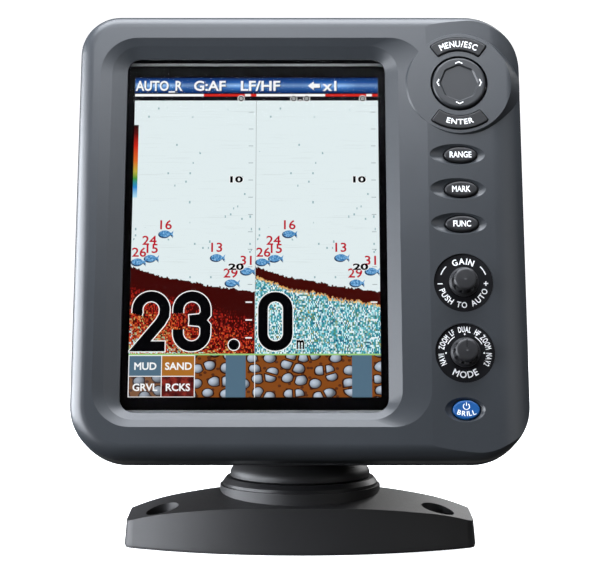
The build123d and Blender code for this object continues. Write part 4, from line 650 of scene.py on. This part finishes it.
def echo_water(g, x, y, seed):
    """Near-white water with faint sounding lines, stray echoes and the ragged start of the bottom."""
    lines = g.noise(1.0, 2.0, 0.6, g.join(g.mul(x, 0.03), g.mul(y, 1.3), seed))
    water = g.ramp(lines, [(0.3, PALE), (0.6, PALE), (0.72, shade(PALE, 0.9))])
    specks = g.white(g.join(g.math("FLOOR", g.mul(x, 1.4)), g.math("FLOOR", g.mul(y, 0.9)), seed))
    cluster = g.noise(0.06, 1.0, 0.5, g.join(x, y, seed + 3.0))
    stray = g.mul(g.above(specks, 0.988), g.above(cluster, 0.53))
    water = g.mix(g.mul(stray, 0.75), water, (0.16, 0.33, 0.36))
    rough_edge = g.white(g.join(g.math("FLOOR", g.mul(x, 1.1)), 0.0, 5.0))
    wave = g.noise(0.22, 3.0, 0.65, g.join(x, 0.0, 7.0))
    fall = g.mul(g.math("POWER", g.mul(g.math("MAXIMUM", x, 0.0), 1 / HALF), 0.66), SEABED_FALL)
    ragged = g.add(g.mul(g.sub(rough_edge, 0.5), 1.1), g.mul(g.sub(wave, 0.5), 3.4))
    bottom = g.add(g.add(SEABED, fall), ragged)
    return water, g.sub(y, bottom)


def echo_left_material():
    """The low-frequency half: a thick dark bottom that breaks up into red and orange."""
    g = lit("echo_low")
    x, y = picture_place(g, 0.0)
    water, depth = echo_water(g, x, y, 1.0)
    grains = g.white(g.join(g.math("FLOOR", g.mul(x, 1.9)), g.math("FLOOR", g.mul(y, 1.4)), 2.0))
    clumps = g.noise(0.35, 2.0, 0.6, g.join(x, y, 4.0))
    share = g.mul(x, 1 / HALF)
    start = g.add(HEAT, g.mul(share, HEAT_FALL))
    below = g.mul(g.sub(y, start), 1 / HEAT_DEPTH)
    heat = g.mul(below, g.sub(0.76, g.mul(share, 0.3)))
    speckle = g.add(g.mul(g.sub(grains, 0.5), 0.92), g.mul(g.sub(clumps, 0.5), 0.45))
    tone = g.add(heat, g.mul(speckle, g.step(below, -0.12, 0.2)))
    ground = g.ramp(
        tone,
        [
            (0.0, MAROON), (0.16, MAROON), (0.28, (0.16, 0.006, 0.004)), (0.42, (0.42, 0.014, 0.01)),
            (0.58, (0.55, 0.04, 0.012)), (0.7, (0.66, 0.16, 0.03)), (0.8, (0.66, 0.46, 0.14)),
            (0.88, (0.3, 0.45, 0.25)), (1.0, (0.5, 0.78, 0.8)),
        ],
    )
    g.set(Emission_Color=g.mix(g.above(depth, 0.0), water, ground))
    return g


def echo_right_material():
    """The high-frequency half: a dark band with an orange fringe over cold speckle."""
    g = lit("echo_high")
    x, y = picture_place(g, HALF)
    water, depth = echo_water(g, x, y, 1.0)
    share = g.mul(x, 1 / HALF)
    grains = g.white(g.join(g.math("FLOOR", g.mul(x, 1.9)), g.math("FLOOR", g.mul(y, 1.1)), 8.0))
    clumps = g.noise(0.5, 2.0, 0.6, g.join(x, g.mul(y, 0.6), 9.0))
    tone = g.add(g.mul(grains, 0.72), g.mul(clumps, 0.36))
    cold = g.ramp(
        tone,
        [
            (0.0, (0.01, 0.08, 0.16)), (0.22, (0.02, 0.2, 0.28)), (0.34, (0.05, 0.34, 0.42)),
            (0.45, (0.16, 0.54, 0.6)), (0.54, (0.5, 0.8, 0.84)), (0.62, (0.78, 0.9, 0.92)),
            (0.75, (0.84, 0.93, 0.94)), (0.8, (0.1, 0.26, 0.14)), (0.88, (0.4, 0.34, 0.1)),
            (0.95, (0.03, 0.2, 0.3)),
        ],
        constant=True,
    )
    edge = g.white(g.join(g.math("FLOOR", g.mul(x, 1.3)), 0.0, 11.0))
    wave = g.noise(0.3, 3.0, 0.6, g.join(x, 0.0, 12.0))
    ragged = g.add(g.mul(edge, 0.9), g.mul(g.sub(wave, 0.5), 2.4))
    thick = g.add(g.add(BAND, g.mul(share, BAND_GROWTH)), ragged)
    fringe = g.add(thick, g.mul(grains, 2.2))
    hot = g.ramp(grains, [(0.0, (0.7, 0.16, 0.03)), (0.5, (0.8, 0.36, 0.1)), (1.0, (0.75, 0.6, 0.25))])
    ground = g.mix(g.above(depth, fringe), hot, cold)
    ground = g.mix(g.above(depth, thick), (0.05, 0.003, 0.002), ground)
    g.set(Emission_Color=g.mix(g.above(depth, 0.0), water, ground))
    return g


BAR_BOTTOM, LINE_TOP, LINE_BOTTOM = 8.8, 9.3, 10.7  # the blue bar and the dark line under it
RED_FROM, GAP_FROM, GAP_TO = 36.3, 58.0, 61.0  # across each half, the time line's red part and its gap


def status_material():
    """A bar shaded from dark to bright blue and back, over thin white and red time lines."""
    g = lit("status_colours")
    x, y, z = g.split(g.place)
    down = g.sub(SCREEN_TOP, y)
    across_mm = g.sub(x, SCREEN_LEFT)
    blue = g.ramp(
        g.mul(down, 1 / 10.0),
        [
            (0.0, (0.0, 0.002, 0.02)), (0.08, (0.003, 0.02, 0.12)), (0.3, (0.02, 0.12, 0.42)),
            (0.46, (0.32, 0.55, 0.88)), (0.6, (0.05, 0.2, 0.55)), (0.8, (0.004, 0.03, 0.16)),
            (0.9, (0.0, 0.004, 0.03)),
        ],
    )
    gleam = g.step(g.math("SINE", g.mul(across_mm, 2 * math.pi / 46.0)), -0.6, 1.0)
    blue = g.mix(g.add(0.5, g.mul(gleam, 0.5)), (0.004, 0.03, 0.16), blue)
    wide = g.math("MODULO", across_mm, HALF)
    red = g.mix(g.between(wide, GAP_FROM, GAP_TO), (0.62, 0.018, 0.012), (0.95, 0.9, 0.88))
    line = g.mix(g.above(wide, RED_FROM), (0.95, 0.95, 0.95), red)
    lower = g.mix(g.between(down, LINE_TOP, LINE_BOTTOM), (0.004, 0.004, 0.006), line)
    g.set(Emission_Color=g.mix(g.above(down, BAR_BOTTOM), blue, lower))
    return g


def pebbles(g, x, y, ground, stone, size):
    """Packed round stones with a lit upper left and a dark rim, and dark specks between them."""
    across_size, down_size = g.mul(x, 1 / size), g.mul(y, 1 / (size * 0.82))
    place = g.join(across_size, down_size)

    def cells(offset=0.0, **options):
        shifted = g.join(g.add(across_size, offset), g.add(down_size, offset))
        return g.voronoi(1.0, shifted, randomness=0.62, dimensions="2D", **options)

    swell = g.add(0.5, g.noise(0.9, 1.0, 0.5, place))
    apart = g.sub(g.mul(cells(feature="DISTANCE_TO_EDGE"), 1.1), 0.05)
    closeness = g.math("MINIMUM", apart, g.sub(0.44, g.mul(cells(), swell)))
    body = g.ramp(cells(offset=0.12), [(0.0, shade(stone, 1.5)), (0.26, stone), (0.46, shade(stone, 0.3))])
    specks = g.below(g.voronoi(1.7, place, dimensions="2D"), 0.19)
    soil = g.mix(specks, ground, (0.09, 0.026, 0.01))
    rim = g.mix(g.above(closeness, 0.0), soil, (0.03, 0.008, 0.004))
    return g.mix(g.above(closeness, 0.09), rim, body)


STRIP_TOP, STRIP_BOTTOM = 149.0, 170.6
SLATE, SAND, GRAVEL = (0.085, 0.155, 0.22), (0.4, 0.15, 0.022), (0.28, 0.11, 0.03)
EARTH = (0.23, 0.065, 0.011)
STONE = (0.36, 0.41, 0.48)
PEBBLE = 7.8  # the distance between stones, in millimetres
KEY_CELL = 16.8  # the width of each cell of the key to the grounds
BARE_FROM, BARE_TO = 49.4, 59.5  # the plain mud across each half


def strip_material():
    """The seabed strip: pebbles and mud, and the key to the four grounds at its left."""
    g = lit("seabed_colours")
    x, y, z = g.split(g.place)
    across_mm = g.sub(x, SCREEN_LEFT)
    down = g.sub(SCREEN_TOP, y)
    wide = g.math("MODULO", across_mm, HALF)
    stones = pebbles(g, across_mm, down, EARTH, STONE, PEBBLE)
    field = g.mix(g.between(wide, BARE_FROM, BARE_TO), stones, SLATE)
    dark = g.noise(0.25, 3.0, 0.6, g.join(across_mm, down, 3.0))
    rocks = g.ramp(
        dark, [(0.35, (0.035, 0.004, 0.004)), (0.5, (0.12, 0.012, 0.01)), (0.62, (0.27, 0.03, 0.02))]
    )
    stones_aside = pebbles(g, g.add(across_mm, 3.0), down, GRAVEL, STONE, PEBBLE)
    gravel = g.mix(0.35, stones_aside, (0.07, 0.07, 0.08))
    upper = g.mix(g.above(across_mm, KEY_CELL), SLATE, SAND)
    lower = g.mix(g.above(across_mm, KEY_CELL), gravel, rocks)
    legend = g.mix(g.above(down, (STRIP_TOP + STRIP_BOTTOM) / 2), upper, lower)
    g.set(Emission_Color=g.mix(g.below(across_mm, 2 * KEY_CELL), field, legend))
    return g


def panel(name, left, top, right_end, bottom, graph, low=SCREEN_W, high=PICTURE_FRONT):
    """A thin plate on the screen, placed from the screen's top left corner."""
    bm = bmesh.new()
    prism(bm, rectangle(screen_u(left), screen_v(bottom), right_end - left, bottom - top), low, high)
    return finish_piece(name, bm, "display", graph)


panel("status_bar", 0.0, 0.4, SCREEN_WIDTH, ECHO_TOP, status_material())
panel("echo_left", 0.0, ECHO_TOP, HALF - 0.15, ECHO_BOTTOM, echo_left_material())
panel("echo_right", HALF + 0.15, ECHO_TOP, SCREEN_WIDTH, ECHO_BOTTOM, echo_right_material())
panel("seabed_strip", 0.0, STRIP_TOP, SCREEN_WIDTH, STRIP_BOTTOM, strip_material())
panel("bottom_line", 0.0, ECHO_BOTTOM, SCREEN_WIDTH, STRIP_TOP, glow("line_green", (0.34, 0.62, 0.2)))
panel("half_divider", HALF - 0.15, ECHO_TOP, HALF + 0.15, ECHO_BOTTOM, glow("line_grey", (0.42, 0.46, 0.47)))


def colour_bar():
    """The scale of echo strengths, from black and red down to blue."""
    g = lit("bar_colours")
    x, y, z = g.split(g.place)
    top, bottom = 26.5, 66.0
    share = g.mul(g.sub(g.sub(SCREEN_TOP, y), top), 1 / (bottom - top))
    g.set(Emission_Color=g.ramp(
        share,
        [
            (0.0, (0.004, 0.002, 0.002)), (0.12, (0.1, 0.004, 0.004)), (0.3, (0.6, 0.02, 0.01)),
            (0.5, (0.72, 0.14, 0.02)), (0.64, (0.5, 0.42, 0.05)), (0.74, (0.05, 0.3, 0.04)),
            (0.86, (0.02, 0.24, 0.62)), (1.0, (0.45, 0.75, 0.88)),
        ],
    ))
    panel("colour_bar", 0.0, top, 2.3, bottom, g, PICTURE_FRONT, PICTURE_FRONT + MARK)


colour_bar()
WHITE_LIT = glow("lit_white", (0.95, 0.96, 0.96))
BLACK_LIT = glow("lit_black", (0.001, 0.001, 0.0015))
RED_LIT = glow("lit_red", (0.52, 0.008, 0.025))
GREY_LIT = glow("lit_grey", (0.28, 0.34, 0.36))
SHADE_LIT = glow("lit_navy", (0.02, 0.05, 0.12))


def fish_material():
    g = lit("fish_colours")
    x, y, z = g.split(g.place)
    scales = g.noise(1.2, 2.0, 0.5)
    g.set(Emission_Color=g.ramp(
        scales, [(0.35, (0.03, 0.15, 0.36)), (0.52, (0.11, 0.33, 0.62)), (0.68, (0.34, 0.58, 0.82))]
    ))
    return g


def layer(name, graph, low, draw):
    """A piece on the screen at height low, filled by draw(bm, low)."""
    bm = bmesh.new()
    draw(bm, low)
    return finish_piece(name, bm, "display", graph)


FISH = ((17.8, 85.4), (10.6, 98.4), (4.0, 100.3), (44.7, 98.0), (60.3, 105.2), (52.4, 111.4))
FISH_NUMBERS = (
    ("16", 17.7, 80.6), ("24", 9.3, 88.9), ("15", 10.8, 93.2), ("26", 4.1, 95.2), ("13", 44.1, 92.6),
    ("31", 59.3, 99.5), ("29", 51.4, 106.2),
)


def fish_outline(x, y, grow=0.0):
    """A fish that swims to the left: a pointed body and a forked tail, in screen millimetres."""
    body = []
    for i in range(21):
        angle = math.radians(30 + 300 * i / 20)
        body.append((x - 0.6 + (2.9 + grow) * math.cos(angle), y + (1.8 + grow) * math.sin(angle)))
    fork = x + 3.9 + grow
    tail = [
        (x + 2.7, y - 0.5), (fork, y - 1.9 - grow), (x + 3.4, y), (fork, y + 1.7 + grow), (x + 2.7, y + 0.5)
    ]
    return body + tail


def draw_fish(bm, low, shift=0.0, grow=0.0):
    for across_mm, down_mm in FISH:
        for half in (0.0, HALF):
            x = screen_u(across_mm + half) - shift
            y = screen_v(down_mm) - shift
            prism(bm, fish_outline(x, y, grow), low, low + MARK)


def draw_fish_numbers(bm, low):
    for text, across_mm, down_mm in FISH_NUMBERS:
        for half in (0.0, HALF):
            x, y = screen_u(across_mm + half), screen_v(down_mm)
            write(bm, text, x, y, 6.8, low, MARK, bold=0.1, wide=1.12)


SCALE_NUMBERS = (("10", 54.0, 56.2), ("20", 54.2, 102.9))


def draw_scale_numbers(bm, low, bold):
    for text, across_mm, down_mm in SCALE_NUMBERS:
        for half in (0.0, HALF):
            x, y = screen_u(across_mm + half), screen_v(down_mm)
            write(bm, text, x, y, 4.5, low, MARK, bold=bold, wide=1.75)


FIRST_TICK, TICK_STEP, TICKS, DARK_TICKS = 19.4, 9.28, 14, 11


def draw_ticks(bm, low, first, last, height):
    for index in range(first, last):
        y = screen_v(FIRST_TICK + TICK_STEP * index)
        for half in (0.0, HALF):
            wide = 2.4 if height < 0.4 else 3.4
            prism(bm, rectangle(screen_u(62.6 + half - wide), y - height / 2, wide, height), low, low + MARK)


def draw_zero_marks(bm, low, grow):
    for across_mm, radius in ((56.0, 1.5), (120.1, 1.5), (83.8, 1.5), (90.6, 1.5)):
        x, y = screen_u(across_mm), screen_v(11.9)
        ring(bm, circle(x, y, radius + grow), circle(x, y, radius - 0.75 - grow), low, low + MARK)
    prism(bm, circle(screen_u(87.2), screen_v(13.0), 0.4 + grow, 12), low, low + MARK)


STATUS_Y = 4.8
STATUS_WORDS = (("AUTO_R", 0.2, 25.0), ("G:AF", 31.0, 47.8), ("LF/HF", 55.8, 76.6), ("x1", 99.0, 106.4))


def draw_status(bm, low, shift):
    """Block capitals, each word fitted to its own width, and an arrow."""
    size = 7.6
    for text, left, right_end in STATUS_WORDS:
        mesh, first, last = glyphs(text, size, MARK, 0.2)
        bpy.data.meshes.remove(mesh)
        wide = (right_end - left) / (last - first)
        x, y = screen_u(left) + shift, screen_v(STATUS_Y) - shift
        write(bm, text, x, y, size, low, MARK, bold=0.2, wide=wide, anchor="left")
    x, y = screen_u(91.2) + shift, screen_v(STATUS_Y) - shift
    neck, end = x + 3.2, x + 6.4
    arrow = [
        (x, y), (neck, y - 2.4), (neck, y - 1.1), (end, y - 1.1),
        (end, y + 1.1), (neck, y + 1.1), (neck, y + 2.4),
    ]
    prism(bm, arrow, low, low + MARK)


DIGIT_TOP, DIGIT_BOTTOM = 116.2, 146.7


def draw_big_digits(bm, low, grow):
    """The depth, 23.0, in tall rounded strokes."""
    thick = 5.2 + 2 * grow
    top, bottom = screen_v(DIGIT_TOP) - 2.25, screen_v(DIGIT_BOTTOM) + 2.25
    half_width = 7.0
    # 2: an arch, a long diagonal and a foot
    x = screen_u(10.9)
    arch = arc_points(x, top - half_width, half_width, 200, 0, 20)
    arch[0] = (x - half_width - 0.2, top - half_width - 2.4)
    turn_in = [(x + half_width - 0.2, top - half_width - 3.0), (x + half_width - 2.2, top - half_width - 6.6)]
    foot = [(x - half_width + 1.6, bottom), (x + half_width + 0.3 + grow, bottom)]
    stroke(bm, arch + turn_in + foot, thick, low, low + MARK)
    # 3: two bowls that meet in a short bar
    x = screen_u(31.8)
    middle_y = (top + bottom) / 2 + 0.6
    upper, lower = (top - middle_y) / 2, (middle_y - bottom) / 2
    bowls = [(x - half_width, top - half_width - 1.8)]
    bowls += arc_points(x, top - half_width, half_width, 180, 0, 18)
    bowls += [(x + half_width, middle_y + 3.2), (x + half_width - 2.0, middle_y + 0.6)]
    stroke(bm, bowls + [(x - 1.2 - grow, middle_y)], thick, low, low + MARK)
    bowls = [(x - 1.2 - grow, middle_y)]
    bowls += [(x + half_width - 2.0, middle_y - 0.6), (x + half_width, middle_y - 3.2)]
    bowls += arc_points(x, bottom + half_width, half_width, 0, -180, 18)
    bowls += [(x - half_width, bottom + half_width + 1.8)]
    stroke(bm, bowls, thick, low - STEP_DOWN, low + MARK - STEP_DOWN)
    # the point
    prism(bm, circle(screen_u(53.4), screen_v(143.6), 2.7 + grow), low, low + MARK)
    # 0: a tall ring
    left, wide, tall = screen_u(65.7), 17.6, DIGIT_BOTTOM - DIGIT_TOP
    foot = screen_v(DIGIT_BOTTOM)
    outer = rounded(left - grow, foot - grow, wide + 2 * grow, tall + 2 * grow, 8.6 + grow)
    hole = 4.9 + grow
    inner = rounded(left + hole, foot + hole, wide - 2 * hole, tall - 2 * hole, 3.9 - grow)
    ring(bm, outer, inner, low, low + MARK)
    write(bm, "m", screen_u(87.3), screen_v(142.4), 9.2, low, MARK, bold=0.27 + grow * 0.6, wide=0.6)


def draw_strip_lines(bm, low):
    bottom, top = screen_v(STRIP_BOTTOM), screen_v(STRIP_TOP)
    middle_y = (bottom + top) / 2
    for x in (0.2, KEY_CELL, 2 * KEY_CELL):
        prism(bm, rectangle(screen_u(x) - 0.2, bottom, 0.4, top - bottom), low, low + MARK)
    for y in (bottom + 0.2, middle_y, top - 0.2):
        for left in (0.4, 17.0):
            prism(bm, rectangle(screen_u(left), y - 0.2, 16.2, 0.4), low, low + MARK)
    prism(bm, rectangle(screen_u(HALF) - 0.18, bottom, 0.36, top - bottom), low, low + MARK)


def draw_grounds(bm, low):
    for text, across_mm, down_mm in (
        ("MUD", 8.6, 154.6), ("SAND", 25.4, 154.6), ("GRVL", 8.6, 165.4), ("RCKS", 25.3, 165.4),
    ):
        write(bm, text, screen_u(across_mm), screen_v(down_mm), 5.2, low, MARK, bold=0.13, wide=1.0)


FRONT = PICTURE_FRONT
layer("fish_shades", SHADE_LIT, FRONT, lambda bm, low: draw_fish(bm, low, 0.4, 0.2))
layer("fish_marks", fish_material(), FRONT + 0.035, lambda bm, low: draw_fish(bm, low))
layer("fish_numbers", RED_LIT, FRONT + 0.07, draw_fish_numbers)
layer("scale_halos", WHITE_LIT, FRONT + 0.07, lambda bm, low: draw_scale_numbers(bm, low, 0.42))
layer("scale_numbers", BLACK_LIT, FRONT + 0.11, lambda bm, low: draw_scale_numbers(bm, low, 0.17))
layer("dark_ticks", GREY_LIT, FRONT, lambda bm, low: draw_ticks(bm, low, 0, DARK_TICKS, 0.3))
layer("light_ticks", WHITE_LIT, FRONT, lambda bm, low: draw_ticks(bm, low, DARK_TICKS, TICKS, 0.7))
layer("zero_halos", WHITE_LIT, FRONT, lambda bm, low: draw_zero_marks(bm, low, 0.35))
layer("zero_marks", BLACK_LIT, FRONT + 0.04, lambda bm, low: draw_zero_marks(bm, low, 0.0))
layer("status_shades", BLACK_LIT, FRONT, lambda bm, low: draw_status(bm, low, 0.35))
layer("status_words", WHITE_LIT, FRONT + 0.04, lambda bm, low: draw_status(bm, low, 0.0))
layer("depth_halo", WHITE_LIT, FRONT, lambda bm, low: draw_big_digits(bm, low, 0.5))
layer("depth_digits", BLACK_LIT, FRONT + 0.045, lambda bm, low: draw_big_digits(bm, low, 0.0))
layer("strip_lines", WHITE_LIT, FRONT, draw_strip_lines)
layer("ground_words", WHITE_LIT, FRONT, draw_grounds)


def window_mask():
    """The black border printed on the back of the glass round the lit area."""
    bm = bmesh.new()
    outer = rounded(-23 - 68.0, -91.2, 136.0, 182.4, 3.0)
    inner = rounded(SCREEN_LEFT - 0.2, -SCREEN_TOP + 0.3, SCREEN_WIDTH + 0.4, SCREEN_HEIGHT - 0.5, 0.2)
    ring(bm, outer, inner, -3.62, -3.53)
    g = moulded(
        "mask_ink", (0.0008, 0.0006, 0.0008), grain=0.3, rough=(0.3, 0.4), relief=0.004, scale=MM, gloss=0.02
    )
    return finish_piece("window_mask", bm, "display", g)


window_mask()

# ---- legends ----------------------------------------------------------------------------------


def ink(name, colour):
    """Printed ink with slightly thin patches."""
    g = Graph(name)
    patches = g.noise(6.0, 3.0, 0.6)
    g.set(Base_Color=g.ramp(patches, [(0.25, shade(colour, 0.82)), (0.5, colour)]))
    g.set(Roughness=g.add(0.45, g.mul(patches, 0.15)))
    g.bump(patches, 0.2, 0.05)
    return g


INK = ink("white_ink", (0.86, 0.87, 0.88))
SUNK = 0.02  # how far printed ink reaches into its key


def legend(name, body, slot, draw):
    bm = bmesh.new()
    draw(bm)
    return finish_piece(name, bm, body, INK)


for node, v, word in OVAL_KEYS:
    legend(
        node + "_legend", node, node,
        lambda bm: write(bm, word, KEY_U, v, 4.5, OVAL_TOP - SUNK, INK_THICK, bold=0.08, wide=0.78),
    )


def draw_menu(bm):
    low = ARC_TOP - SUNK
    write_round(bm, "MENU/ESC", KEY_U, PAD_V, 21.4, 90, 4.7, low, bold=0.08, wide=0.86, gap=0.1)


def draw_enter(bm):
    low = ARC_TOP - SUNK
    write_round(bm, "ENTER", KEY_U, PAD_V, 21.3, -90, 4.0, low, inside=True, bold=0.08, wide=1.1)


legend("menu_key_legend", "menu_key", "menu_key", draw_menu)
legend("enter_key_legend", "enter_key", "enter_key", draw_enter)


def draw_chevrons(bm):
    radius, reach, rise = 11.5, 1.9, 1.0
    for quarter in range(4):
        turn = Matrix.Rotation(math.radians(90 * quarter), 2)
        points = [Vector((-reach, radius - rise)), Vector((0, radius)), Vector((reach, radius - rise))]
        placed = [turn @ point + Vector((KEY_U, PAD_V)) for point in points]
        stroke(bm, [(p.x, p.y) for p in placed], 0.55, PAD_TOP - 0.03, PAD_TOP + 0.03)


legend("cursor_pad_legend", "cursor_pad", "cursor_pad", draw_chevrons)


def draw_power(bm):
    x, y, low = KEY_U, POWER_V + 1.7, POWER_TOP - SUNK
    stroke(bm, arc_points(x, y, 1.55, 125, 415, 24), 0.45, low, low + INK_THICK)
    prism(bm, rectangle(x - 0.22, y + 0.3, 0.44, 1.9), low, low + INK_THICK)
    write_round(bm, "BRILL", x, POWER_V + 9.4, 11.3, -90, 3.5, low, inside=True, bold=0.07, gap=0.13)


legend("power_key_legend", "power_key", "power_key", draw_power)


def draw_gain(bm):
    low = DIAL_TOP
    write_round(bm, "GAIN", KEY_U, GAIN_V, 11.2, 90, 4.5, low, bold=0.08, wide=0.9, gap=0.18)
    for start, end in ((20, 44), (136, 160)):
        stroke(bm, arc_points(KEY_U, GAIN_V, 12.1, start, end), 0.5, low, low + INK_THICK)
    write(bm, "+", KEY_U + 11.4, GAIN_V - 0.4, 4.6, low, bold=0.08)
    prism(bm, rectangle(KEY_U - 13.2, GAIN_V - 0.8, 2.6, 0.5), low, low + INK_THICK)
    write_round(
        bm, "PUSH TO AUTO", KEY_U, GAIN_V, 11.5, -90, 4.2, low, inside=True, bold=0.06, wide=0.86, gap=0.1
    )


MODES = (("NAV1", 196), ("ZOOM", 153), ("LF", 122), ("DUAL", 90), ("HF", 58), ("ZOOM", 27), ("NAV2", -16))


def draw_mode(bm):
    low = DIAL_TOP
    for text, angle in MODES:
        write_round(bm, text, KEY_U, MODE_V, 12.1, angle, 4.1, low, bold=0.08, wide=0.56, gap=0.07)
    for angle in (180, 90, 0):
        turn = math.radians(angle)
        x, y = KEY_U + 9.6 * math.cos(turn), MODE_V + 9.6 * math.sin(turn)
        prism(bm, circle(x, y, 0.45, 12), low, low + INK_THICK)
    for start, end in ((28, 58), (122, 152)):
        stroke(bm, arc_points(KEY_U, MODE_V, 9.7, start, end), 0.4, low, low + INK_THICK)
    write_round(bm, "MODE", KEY_U, MODE_V, 11.0, -90, 4.7, low, inside=True, bold=0.07, wide=0.95, gap=0.1)


legend("gain_dial_legend", "display", "gain_dial", draw_gain)
legend("mode_dial_legend", "display", "mode_dial", draw_mode)
